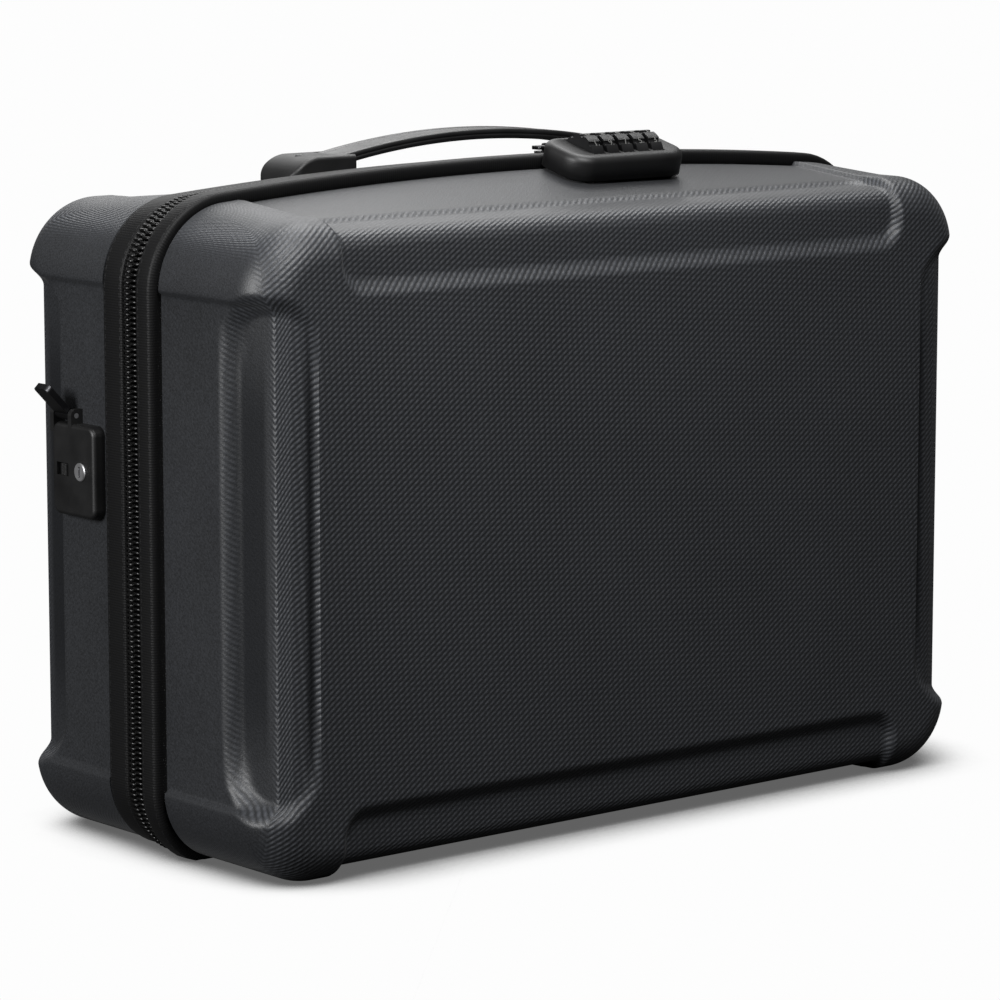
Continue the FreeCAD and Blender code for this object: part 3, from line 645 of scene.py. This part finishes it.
    def mould(self, place: Vector, normal: Vector, core: Vector) -> tuple[Vector, float, float]:
        """How the moulding leaves the plain form at a place.

        Args:
            place: Place on the rounded form.
            normal: Outward normal there.
            core: Point that the rounding turns about.

        Returns:
            Move in metres, how strongly the ribs show there, and how much shade is painted there.
        """
        form, reach = FORM, FORM.strip_span
        plain = max(smooth(0.6, 0.9, abs(normal.x)), 0.8 * smooth(0.75, 0.97, normal.z))
        outward, lean = sideways(normal)
        move, ribbed, painted_shade = Vector(), 1 - self.plain_share * plain, 0.0
        for strip, across, length in ((self.upright, form.half_width, form.half_height - form.side_bumper),
                                      (self.level, form.half_height, form.half_width - form.bumper)):
            upright = strip.axis == 0
            travel = abs(place[2 - strip.axis]) - length
            s = self.round_edge(strip.axis, normal, core)
            if s is None or travel > self.end_fade:
                continue
            corner = strip.end_round
            past, over = max(travel + corner, 0.0), max(abs(s) - reach + corner, 0.0)
            outside = math.hypot(past, over) + min(max(travel, abs(s) - reach) + corner, 0.0) - corner
            at_end = past * past / (past * past + over * over + 1e-12)
            sided = smooth(-self.slope_blend, self.slope_blend, s)
            edge = strip.front_slope + (strip.side_slope - strip.front_slope) * sided
            slope = edge + (strip.end_slope - edge) * at_end
            inside = smooth(slope / 2, -slope / 2, outside)
            panel = smooth(self.step / 2, -self.step / 2, travel) * smooth(0, reach * 0.7, s)
            out, deep = self.facet(strip, across, s)
            if lean < LEVEL:
                outward = Vector()
                outward[strip.axis] = math.copysign(1.0, place[strip.axis])
            sunk = (outward * out + Vector((0, deep, 0))) * inside
            sunk -= normal * (form.panel_recess * panel * (1 - inside))
            if sunk.length > move.length:
                move = sunk
            beside = smooth(5 * MM, 10 * MM, s) * strip.facets
            wall = 4 * inside * (1 - inside) * (1 - 0.45 * beside * (1 - at_end))
            bare = max(panel * (1 - inside) * self.plain_share, inside * beside * 0.92 if upright else 0.0)
            ribbed = max(min(ribbed, 1 - bare), wall)
            if upright:
                # painted shade: the side facet and a band beside the front groove are darkened, fading towards
                # the strip's ends
                groove_shade = math.exp(-((s + reach - self.fold_at) / self.fold_spread) ** 2)
                middle = smooth(-4 * MM, -60 * MM, travel)
                painted_shade = max(painted_shade, inside * max(0.8 * beside, groove_shade) * middle)
        seat = smooth(-self.seat_end - 0.4 * MM, -self.seat_end, place.y)
        if form.panel_recess * seat > move.length:
            move = -normal * form.panel_recess * seat
        return move, ribbed, painted_shade

    def cloth(self, normal: Vector, core: Vector) -> Vector:
        """Place on the cloth as it is wrapped round the edges.

        Args:
            normal: Outward normal on the plain form.
            core: Point that the rounding turns about.

        Returns:
            Distance across the cloth, mirrored at the upright edges, and distance up it.
        """
        form = FORM
        outward, lean = sideways(normal)
        round_it = form.rim * math.atan2(lean, -normal.y)
        wrapped = core + outward * (round_it + core.y + form.half_depth - form.rim)
        edge = form.half_width - form.rim + form.rim_arc
        across = math.copysign(min(abs(wrapped.x), 2 * edge - abs(wrapped.x)), wrapped.x)
        return Vector((across, wrapped.z, 0))

    def beneath(self, place: Vector, gap: float) -> Vector:
        """Place moved inwards until it clears the inside of the moulding.

        Args:
            place: Place from the case's middle.
            gap: Least gap to the inside of the wall.

        Returns:
            The cleared place.
        """
        form = FORM
        flip = Vector((1, -self.half.value, 1))
        lift = Vector((0, 0, form.rise(place)))
        inner = (place - lift) * flip
        surface, normal, core = self.on_form(inner)
        radial = (inner - core).length
        if radial < 4 * MM:
            return place
        sunk = -self.mould(surface, normal, core)[0].dot(normal)
        push = max(sunk + self.wall + gap - (form.rim - radial), 0.0)
        return (inner - normal * min(push, radial)) * flip + lift

    def build(self, laminate: Material, lining: Material) -> Piece:
        """Mould the half shell and give it its wall.

        Args:
            laminate: Outside material.
            lining: Inside material.

        Returns:
            The finished shell.
        """
        form = FORM
        bm = self.blank()
        ribs = bm.verts.layers.float.new("ribbed")
        # painted shade on each vertex, which the laminate reads to darken its tint
        shade_layer = bm.verts.layers.float.new("painted_shade")
        weave = bm.verts.layers.float_vector.new("weave")
        if self.hole:
            x0, x1, y0, y1 = self.hole
            upper = [(face, face.calc_center_median()) for face in bm.faces if face.normal.z > 0.5]
            opened = [face for face, at in upper if x0 < at.x < x1 and y0 < at.y < y1]
            bmesh.ops.delete(bm, geom=opened, context="FACES")
        for vert in bm.verts:
            place, normal, core = self.on_form(vert.co)
            move, vert[ribs], vert[shade_layer] = self.mould(place, normal, core)
            vert[weave] = self.cloth(normal, core)
            vert.co = place + move + Vector((0, 0, form.rise(place)))
        if self.half is Half.REAR:
            bmesh.ops.scale(bm, vec=(1, -1, 1), verts=bm.verts)
        bmesh.ops.remove_doubles(bm, verts=bm.verts, dist=1e-6)
        bmesh.ops.recalc_face_normals(bm, faces=bm.faces)
        outwards = sum(f.normal.y * f.calc_area() for f in bm.faces) * self.half.value
        if outwards < 0:
            bmesh.ops.reverse_faces(bm, faces=bm.faces)
        name = self.half.name.lower() + "_moulded_shell"
        shell = finish_mesh(bm, name, [laminate, lining])
        shell.data.set_sharp_from_angle(angle=math.radians(50))
        wall = shell.modifiers.new("wall", "SOLIDIFY")
        wall.thickness = self.wall
        wall.offset = -1.0
        wall.material_offset = 1
        return shell


def rounded_profile(points: Sequence[Vector], rounding: Sequence[float], segments: int) -> BMesh:
    """Closed outline with rounded corners.

    Args:
        points: Corners in order.
        rounding: Radius of each corner.
        segments: Steps in each rounding.

    Returns:
        Mesh of the outline's edges.
    """
    bm = bmesh.new()
    verts = [bm.verts.new(point) for point in points]
    bm.faces.new(verts)
    for vert, radius in zip(verts, rounding):
        if radius > 0:
            bmesh.ops.bevel(bm, geom=[vert], offset=radius, offset_type="OFFSET", segments=segments,
                            profile=0.5, affect="VERTICES", material=-1)
    bmesh.ops.delete(bm, geom=bm.faces[:], context="FACES_ONLY")
    return bm


def sweep_round_case(corners: Sequence[tuple[float, float]], rounding: Sequence[float], steps: int = 14,
                     stride: float = 16 * MM) -> BMesh:
    """Carry a profile round the case's outline, as a closed ring.

    Args:
        corners: Profile corners as height above the outline and depth.
        rounding: Radius of each corner.
        steps: Steps in each of the case's corners.
        stride: Longest step along the straight runs.

    Returns:
        Swept mesh, measured from the case's middle.
    """
    form = FORM
    bm = rounded_profile([Vector((0, y, -form.half_height - out)) for out, y in corners], rounding, 4)
    section = bm.edges[:]
    sx, sz = form.straight_x, form.straight_z
    runs = [sx, 2 * sz, 2 * sx, 2 * sz, sx]
    pivots = [(sx, -sz), (sx, sz), (-sx, sz), (-sx, -sz)]
    for quarter, run in enumerate(runs):
        pieces = max(1, int(run / stride))
        onward = Matrix.Rotation(-math.pi / 2 * quarter, 3, "Y") @ Vector((run / pieces, 0, 0))
        for _ in range(pieces):
            moved = bmesh.ops.extrude_edge_only(bm, edges=section)["geom"]
            bmesh.ops.translate(bm, vec=onward, verts=[g for g in moved if isinstance(g, bmesh.types.BMVert)])
            section = [g for g in moved if isinstance(g, bmesh.types.BMEdge) and
                       abs((g.verts[0].co - g.verts[1].co).dot(onward.normalized())) < 1e-7]
        if quarter < len(pivots):
            x, z = pivots[quarter]
            geom = section + list({v for e in section for v in e.verts})
            last = bmesh.ops.spin(bm, geom=geom, cent=(x, 0, z), axis=(0, 1, 0), angle=-math.pi / 2,
                                  steps=steps, use_merge=False)["geom_last"]
            section = [g for g in last if isinstance(g, bmesh.types.BMEdge)]
    bmesh.ops.remove_doubles(bm, verts=bm.verts, dist=1e-6)
    bmesh.ops.recalc_face_normals(bm, faces=bm.faces)
    lowest = -form.half_height + form.floor_clearance
    along = bm.verts.layers.float.new("along")
    for vert in bm.verts:
        vert[along] = form.along(vert.co.x, vert.co.z)
        vert.co.z = max(vert.co.z, lowest) + form.rise(vert.co)
    return bm


@dataclass
class ZipClosure:
    """Zip round three sides: two bound tapes, two rows of teeth, and the cloth hinge along the bottom."""

    tape: float = 1.5 * MM
    row_start: float = 0.65 * MM
    row_width: float = 5.6 * MM
    row_height: float = 3.5 * MM
    band_start: float = 8.15 * MM
    hinge_half: float = 180 * MM
    pitch: float = 2.55 * MM
    tooth: float = 1.5 * MM

    def bound_tape(self, half: Half, band_end: float, height: float, finish: BoundTape) -> Piece:
        """Tape with a flat flange under the teeth and a rounded, bound edge beside them.

        Args:
            half: Half that the tape is sewn to.
            band_end: Far edge of the binding from the zip.
            height: Height of the binding above the side panels.
            finish: Material of this tape.

        Returns:
            The finished tape.
        """
        low = -FORM.panel_recess
        sign = half.value
        corners = [(low, self.row_start), (low + self.tape, self.row_start),
                   (low + self.tape, self.band_start - 0.2 * MM), (low + height, self.band_start + 0.4 * MM),
                   (low + height, band_end), (low, band_end)]
        rounding = [0, 0.4 * MM, 0.5 * MM, min(1.6 * MM, height / 3), min(2.4 * MM, height / 2.2), 0]
        bm = sweep_round_case([(out, sign * y) for out, y in corners], rounding)
        return finish_mesh(bm, half.name.lower() + "_bound_tape", [finish.material()])

    def teeth(self, half: Half, nylon: Material) -> Piece:
        """Row of coil teeth from one end of the hinge round to the other.

        Args:
            half: Half that the row is sewn to.
            nylon: Material of the coil.

        Returns:
            The finished row.
        """
        form, sign = FORM, half.value
        start = self.hinge_half + (self.pitch / 2 if half is Half.REAR else 0.0)
        count = int((form.outline - 2 * self.hinge_half) / self.pitch)
        bm = bmesh.new()
        middle = sign * (self.row_start + self.row_width / 2 - 0.45 * MM)
        rise = -form.panel_recess + self.tape + self.row_height / 2
        for index in range(count):
            point, onward, outward = form.place(start + (index + 0.25) * self.pitch)
            turn = Matrix((onward, Vector((0, 1, 0)), outward)).transposed().to_4x4()
            at = point + outward * rise + Vector((0, middle, 0))
            size = Matrix.Diagonal((self.tooth, self.row_width - 0.2 * MM, self.row_height, 1))
            bmesh.ops.create_cube(bm, size=1.0, matrix=Matrix.Translation(at) @ turn @ size)
        lengthwise = [e for e in bm.edges if abs(e.verts[0].co.y - e.verts[1].co.y) > self.row_width / 2]
        bmesh.ops.bevel(bm, geom=lengthwise, offset=0.6 * MM, offset_type="OFFSET", segments=2, profile=0.5,
                        affect="EDGES", material=-1)
        lowest = -form.half_height + form.floor_clearance
        for vert in bm.verts:
            vert.co.z = max(vert.co.z, lowest) + form.rise(vert.co)
        bmesh.ops.recalc_face_normals(bm, faces=bm.faces)
        return finish_mesh(bm, half.name.lower() + "_zip_teeth", [nylon])

    def hinge(self, cloth: Material) -> Piece:
        """Woven strip that joins the tapes along the bottom.

        Args:
            cloth: Material of the strip.

        Returns:
            The finished strip.
        """
        bm = bmesh.new()
        half_length, half_width = self.hinge_half - 0.8 * MM, self.band_start - 0.5 * MM
        bmesh.ops.create_grid(bm, x_segments=60, y_segments=16, size=1.0)
        bmesh.ops.scale(bm, vec=(half_length, half_width, 1), verts=bm.verts)
        level = -FORM.half_height + 0.6 * MM
        for vert in bm.verts:
            pucker = 0.12 * MM * math.sin(vert.co.x / (7 * MM)) * (1 - abs(vert.co.y) / half_width)
            vert.co.z = level + pucker
        strip = finish_mesh(bm, "hinge_strip", [cloth])
        wall = strip.modifiers.new("wall", "SOLIDIFY")
        wall.thickness = 0.4 * MM
        wall.offset = 0.0
        return strip

    def build(self, finishes: dict[str, Material]) -> None:
        """Make the tapes, the teeth and the hinge, and settle the tapes and teeth on the two halves."""
        front = self.bound_tape(Half.FRONT, 20.15 * MM, 7.3 * MM, BoundTape("front_bound_tape", (-10.6, -18.4)))
        settle(front, "front_half", ["front_zip_tape"])
        rear = self.bound_tape(Half.REAR, 24.15 * MM, 3.5 * MM, BoundTape("rear_bound_tape", (10.2, 22.2)))
        settle(rear, "rear_half", ["rear_zip_tape"])
        settle(self.teeth(Half.FRONT, finishes["nylon"]), "front_half", ["front_zip_coil"])
        settle(self.teeth(Half.REAR, finishes["nylon"]), "rear_half", ["rear_zip_coil"])
        strip = self.hinge(finishes["lining"])
        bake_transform(strip)
        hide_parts("hinge_cloth")
        log.info("%s bends between the halves", strip.name)


@dataclass
class CarryHandle:
    """Moulded two-ply strap that arches between two end caps."""

    middle_x: float = 15 * MM
    depth: float = 49 * MM
    width: float = 22 * MM
    thickness: float = 5.5 * MM
    half_span: float = 120 * MM
    rise: float = 16 * MM
    base: float = 165 * MM

    def build(self, rubber: Material) -> Piece:
        """Spin the strap's section along its arch.

        Args:
            rubber: Material of the strap.

        Returns:
            The finished strap.
        """
        radius = (self.half_span ** 2 + self.rise ** 2) / (2 * self.rise)
        angle = math.asin(self.half_span / radius)
        half, tall = self.width / 2, self.thickness
        # one edge of the section: place in from the edge, height and rounding, with the seam of the two plies
        edge = [(0, 0, 1.6 * MM), (0, tall * 0.42, 0.3 * MM), (0.7 * MM, tall * 0.5, 0.2 * MM),
                (0, tall * 0.58, 0.3 * MM), (0, tall, 1.4 * MM), (3.2 * MM, tall, 0.3 * MM),
                (3.9 * MM, tall - 0.5 * MM, 0.3 * MM)]
        outline = [(inset - half, z, r) for inset, z, r in edge]
        outline += [(half - inset, z, r) for inset, z, r in reversed(edge)]
        top = self.base + self.rise
        points = [Vector((self.middle_x, self.depth + y, top + z)) for y, z, _ in outline]
        bm = rounded_profile(points, [r for _, _, r in outline], 3)
        centre = (self.middle_x, self.depth, top - radius)
        bmesh.ops.rotate(bm, verts=bm.verts, cent=centre, matrix=Matrix.Rotation(-angle, 3, "Y"))
        bmesh.ops.spin(bm, geom=bm.verts[:] + bm.edges[:], cent=centre, axis=(0, 1, 0), angle=2 * angle,
                       steps=56, use_merge=False)
        bmesh.ops.holes_fill(bm, edges=[e for e in bm.edges if e.is_boundary], sides=0)
        bmesh.ops.recalc_face_normals(bm, faces=bm.faces)
        return finish_mesh(bm, "carry_strap", [rubber])


@dataclass
class DialNumbers:
    """Plain printed numerals round each dial."""

    lock_x: float = 43 * MM
    pitch: float = 10.2 * MM
    depth: float = -33.5 * MM
    level: float = 166.1 * MM
    radius: float = 12.4 * MM
    size: float = 5.2 * MM

    def build(self, index: int, paint: Material) -> Piece:
        """Numerals 0 to 9 on one dial.

        Args:
            index: Dial from the left, from 0.
            paint: Material of the numerals.

        Returns:
            One piece with the ten numerals.
        """
        bm = bmesh.new()
        for digit in range(10):
            curve = bpy.data.curves.new("numeral", "FONT")
            curve.body = str(digit)
            curve.size = self.size
            curve.align_x, curve.align_y = "CENTER", "CENTER"
            curve.extrude = 0.06 * MM
            curve.resolution_u = 3
            lettered = bpy.data.objects.new("numeral", curve)
            mesh = bpy.data.meshes.new_from_object(lettered)
            turn = Matrix.Rotation(math.tau * (digit + 2 * index) / 10, 4, "X")
            x = self.lock_x + (index - 2) * self.pitch
            mesh.transform(FORM.lock_slope(self.lock_x) @ Matrix.Translation((x, self.depth, self.level)) @ turn
                           @ Matrix.Translation((0, 0, self.radius)))
            bm.from_mesh(mesh)
            bpy.data.objects.remove(lettered)
            bpy.data.curves.remove(curve)
            bpy.data.meshes.remove(mesh)
        bmesh.ops.remove_doubles(bm, verts=bm.verts, dist=1e-6)
        return finish_mesh(bm, "dial_numerals_%d" % (index + 1), [paint], even=False)


@dataclass
class SmallCasting:
    """Small fitting that keeps its solid's form but is finished closer to the real casting."""

    node: str

    def copy(self) -> BMesh:
        """Merged copy of the solid, measured from the case's middle."""
        bm = bmesh.new()
        bm.from_mesh(frame["nodes"][self.node].data)
        bmesh.ops.remove_doubles(bm, verts=bm.verts, dist=1e-6)
        bmesh.ops.translate(bm, verts=bm.verts, vec=-FORM.middle)
        return bm

    def lock_cover(self, lift: float, plastic: Material) -> Piece:
        """Dial lock's housing, whose brim stands higher round the dials.

        Args:
            lift: How much the brim is raised.
            plastic: Material of the housing.

        Returns:
            The finished housing.
        """
        bm = self.copy()
        slope = FORM.lock_slope(DialNumbers.lock_x)
        bmesh.ops.transform(bm, verts=bm.verts, matrix=slope.inverted())
        brim = FORM.half_height - FORM.panel_recess + 6 * MM
        bmesh.ops.translate(bm, verts=[v for v in bm.verts if v.co.z > brim], vec=(0, 0, lift))
        bmesh.ops.transform(bm, verts=bm.verts, matrix=slope)
        return self.smoothed(finish_mesh(bm, "dial_lock_housing", [plastic]))

    def short_pull(self, keep: float, towards: Side, metal: Material) -> Piece:
        """Zip pull that is shortened towards its pin.

        Args:
            keep: Share of the length that is kept.
            towards: End where the pin is.
            metal: Material of the pull.

        Returns:
            The finished pull.
        """
        bm = self.copy()
        ends = [v.co.x for v in bm.verts]
        pin = max(ends) if towards is Side.RIGHT else min(ends)
        for vert in bm.verts:
            vert.co.x = pin + (vert.co.x - pin) * keep
        return self.smoothed(finish_mesh(bm, self.node + "_cast", [metal]))

    def smoothed(self, piece: Piece) -> Piece:
        """Piece whose edges sharper than 40 degrees stay crisp."""
        piece.data.set_sharp_from_angle(angle=math.radians(40))
        return piece


@dataclass
class FoamTray:
    """Lining of cut foam: the solid's form with its edges eased."""

    node: str
    shell: HalfShell
    voxel: float = 3.2 * MM
    passes: int = 3
    gap: float = 0.8 * MM

    def build(self, foam: Material) -> Piece:
        """Remesh a copy of the solid, ease its edges and keep it inside the moulded shell.

        Args:
            foam: Material of the tray.

        Returns:
            The finished tray.
        """
        tray = finish_mesh(SmallCasting(self.node).copy(), self.node + "_foam", [foam])
        shape = tray.modifiers.new("cells", "REMESH")
        shape.mode = "VOXEL"
        shape.voxel_size = self.voxel
        ease = tray.modifiers.new("ease", "SMOOTH")
        ease.factor = 0.5
        ease.iterations = self.passes
        bpy.context.view_layer.update()
        baked = bpy.data.meshes.new_from_object(tray.evaluated_get(bpy.context.evaluated_depsgraph_get()))
        tray.modifiers.clear()
        tray.data = baked
        for face in baked.polygons:
            face.use_smooth = True
        for vert in baked.vertices:
            vert.co = self.shell.beneath(vert.co - FORM.middle, self.gap) + FORM.middle
        return tray


@dataclass
class Studio:
    """White floor and backdrop, soft lights and the camera."""

    azimuth: float = -40.06
    elevation: float = 8.95
    lens: float = 153.3
    distance: float = 2.222
    slide_right: float = -2.6 * MM
    slide_up: float = -4.2 * MM
    ambient: float = 0.02
    reflected: float = 0.08
    # name, place, side length in metres and watts of each soft light
    softboxes: tuple[tuple[str, tuple[float, float, float], float, float], ...] = (
        ("overhead_softbox", (0.6, 0.35, 2.1), 1.2, 42), ("back_softbox", (0.9, 1.7, 1.5), 1.4, 13),
        ("left_softbox", (-2.3, -0.25, 0.9), 0.7, 64), ("front_softbox", (-0.26, -0.62, 0.97), 0.45, 11))

    def camera(self) -> None:
        """Set the camera at the photograph's viewing angle."""
        a, e = math.radians(self.azimuth), math.radians(self.elevation)
        back = Vector((math.sin(a) * math.cos(e), -math.cos(a) * math.cos(e), math.sin(e)))
        right = Vector((math.cos(a), math.sin(a), 0))
        up = back.cross(right)
        data = bpy.data.cameras.new("camera")
        data.lens = self.lens
        data.sensor_width = 36.0
        data.clip_end = 50.0
        holder = bpy.data.objects.new("camera", data)
        turn = Matrix((right, up, back)).transposed().to_4x4()
        spot = FORM.middle + right * self.slide_right + up * self.slide_up + back * self.distance
        holder.matrix_world = Matrix.Translation(spot) @ turn
        bpy.context.collection.objects.link(holder)
        bpy.context.scene.camera = holder

    def lamp(self, name: str, spot: Sequence[float], size: float, watts: float) -> None:
        """Add a square soft light that faces the bag.

        Args:
            name: Name of the light.
            spot: Place of the light.
            size: Side length in metres.
            watts: Power.
        """
        data = bpy.data.lights.new(name, "AREA")
        data.shape = "SQUARE"
        data.size = size
        data.energy = watts
        lamp = bpy.data.objects.new(name, data)
        aim = FORM.middle - Vector(spot)
        lamp.matrix_world = Matrix.Translation(spot) @ aim.to_track_quat("-Z", "Y").to_matrix().to_4x4()
        bpy.context.collection.objects.link(lamp)

    def floor(self) -> None:
        """Floor that shows only the close shadow on it, so that an opened half shows below it."""
        bm = bmesh.new()
        bmesh.ops.create_grid(bm, x_segments=1, y_segments=1, size=30.0)
        bmesh.ops.translate(bm, verts=bm.verts, vec=-FORM.middle)
        made = bpy.data.materials.new("white_paper_floor")
        node = start_tree(made)
        # painted contact shadow: camera rays see through the floor to the white backdrop, darkened towards
        # black where ambient occlusion, leaned towards the left lamps, finds the bag close
        lit = node("CombineXYZ", {"X": -0.42, "Y": -0.05, "Z": 0.9})
        near = node("AmbientOcclusion", {"Distance": 0.06, "Normal": lit}, samples=16)
        close = near.outputs["AO"]
        painted_shadow = node("MapRange", {"Value": close, "From Min": 0.3, "From Max": 0.84, "To Min": 0.12},
                    interpolation_type="SMOOTHSTEP")
        paper = node("BsdfDiffuse", {"Color": linear("#303030")})
        dark = node("Emission", {"Strength": 0.0})
        clear = node("BsdfTransparent")
        shown = node("MixShader", [painted_shadow, dark, clear])
        ray = node("LightPath").outputs
        both = node("MixShader", [ray["Is Camera Ray"], paper, shown])
        open_below = node("MixShader", [ray["Is Shadow Ray"], both, clear])
        node("OutputMaterial", {"Surface": open_below})
        finish_mesh(bm, "floor", [made], even=False)

    def world(self) -> None:
        """White backdrop for the camera and reflections, and a dimmer plain light from all round."""
        sky = bpy.data.worlds.new("white_backdrop")
        node = start_tree(sky)
        ray = node("LightPath").outputs
        seen = node("Math.MAXIMUM", [ray["Is Camera Ray"], ray["Is Transmission Ray"]])
        direct = node("MapRange", {"Value": seen, "To Min": self.ambient, "To Max": 1.0})
        mirrored = node("Math.MULTIPLY_ADD", [ray["Is Glossy Ray"], self.reflected, direct])
        back = node("Background", {"Color": linear("#fdfdfd"), "Strength": mirrored})
        node("OutputWorld", {"Surface": back})
        bpy.context.scene.world = sky

    def build(self) -> None:
        """Set up the whole studio."""
        self.camera()
        self.floor()
        self.world()
        for softbox in self.softboxes:
            self.lamp(*softbox)
        bpy.context.scene.view_settings.view_transform = "Standard"


def make_finishes() -> dict[str, Material]:
    """Make every finish of the bag.

    Returns:
        Materials by a short name.
    """
    finishes = {
        # knitted polyester lining: soft and matt
        "lining": Grained("knitted_polyester_lining", "#141415", "#232325", 0.9, 0.2, 0.85, sheen=0.2),
        # extruded nylon coil: smooth, with a satin shine
        "nylon": Grained("nylon_zip_coil", "#020202", "#080808", 2.0, 0.05, 0.36, specular=0.36),
        # moulded thermoplastic rubber: satin, fine spark texture
        "rubber": Grained("moulded_rubber", "#070708", "#101011", 0.6, 0.05, 0.42),
        # moulded black ABS with a fine spark-eroded grain
        "abs": Grained("moulded_abs", "#040404", "#0b0b0c", 0.7, 0.06, 0.5),
        # the same ABS on the dials, glossier from handling
        "dial": Grained("moulded_abs_dial", "#060607", "#111112", 0.7, 0.05, 0.42),
        # nickel-plated zinc: bright, with fine polishing haze
        "nickel": Grained("nickel_plated_zinc", "#b4b4b6", "#d4d4d6", 1.2, 0.01, 0.42, metallic=1.0),
        # black-plated zinc of sliders, pulls and lever
        "black_plate": Grained("black_plated_zinc", "#3a3a3c", "#4a4a4c", 1.2, 0.02, 0.34, metallic=1.0),
        # cut polyurethane foam: open cells
        "foam": Grained("cut_polyurethane_foam", "#161617", "#2c2c2e", 1.1, 0.5, 0.95, specular=0.2,
                        cells=True),
        # pad-printed numerals
        "print": Grained("pad_printed_ink", "#4a4a49", "#5a5a58", 0.8, 0.01, 0.5),
    }
    return {name: finish.material() for name, finish in finishes.items()}


def dress_solids(finishes: dict[str, Material]) -> None:
    """Give the solids that stay in view their finishes."""
    by_slot = {"bright_metal": "nickel", "dark_metal": "black_plate", "fittings": "abs", "dial": "dial",
               "foam": "foam", "handle": "rubber", "zip_coil": "nylon", "zip_tape": "lining",
               "hinge_cloth": "lining", "shell": "lining"}
    for subpart in frame["record"]["subparts"]:
        solid = frame["nodes"][subpart["node"]]
        # rivet heads are lacquered to match the handle
        finish = "black_plate" if subpart["node"] == "handle_rivets" else by_slot[subpart["material_slot"]]
        for slot in solid.material_slots:
            slot.material = finishes[finish]


def main() -> None:
    """Build the bag and its studio in order."""
    logging.basicConfig(level=logging.INFO, format="%(message)s")
    Studio().build()
    finishes = make_finishes()
    dress_solids(finishes)
    laminate = TwillLaminate().material()
    # opening in the front half's top for the tub of the dial lock
    lock_x, half_tub = DialNumbers.lock_x, 26.9 * MM
    tub = (lock_x - half_tub, lock_x + half_tub, -46.2 * MM, -20.3 * MM)
    front = HalfShell(Half.FRONT, 20.95 * MM, hole=tub)
    settle(front.build(laminate, finishes["lining"]), "front_half", ["front_shell"])
    rear = HalfShell(Half.REAR, 24.95 * MM)
    settle(rear.build(laminate, finishes["lining"]), "rear_half", ["rear_shell"])
    ZipClosure().build(finishes)
    settle(CarryHandle().build(finishes["rubber"]), "rear_half", ["handle_strap"])
    cover = SmallCasting("lock_body").lock_cover(2.6 * MM, finishes["abs"])
    settle(cover, "front_half", ["lock_body"])
    for node, towards, body in (("zip_pull_left", Side.RIGHT, "left_pull"),
                                ("zip_pull_right", Side.LEFT, "right_pull")):
        pull = SmallCasting(node).short_pull(0.55, towards, finishes["black_plate"])
        settle(pull, body, [node])
    for index in range(5):
        numerals = DialNumbers().build(index, finishes["print"])
        settle(numerals, "number_dial_%d" % (index + 1))
    for node, shell, body in (("console_tray", rear, "rear_half"), ("accessory_tray", front, "front_half")):
        tray = FoamTray(node, shell).build(finishes["foam"])
        settle(tray, body, [node])


if __name__ == "__main__":
    main()
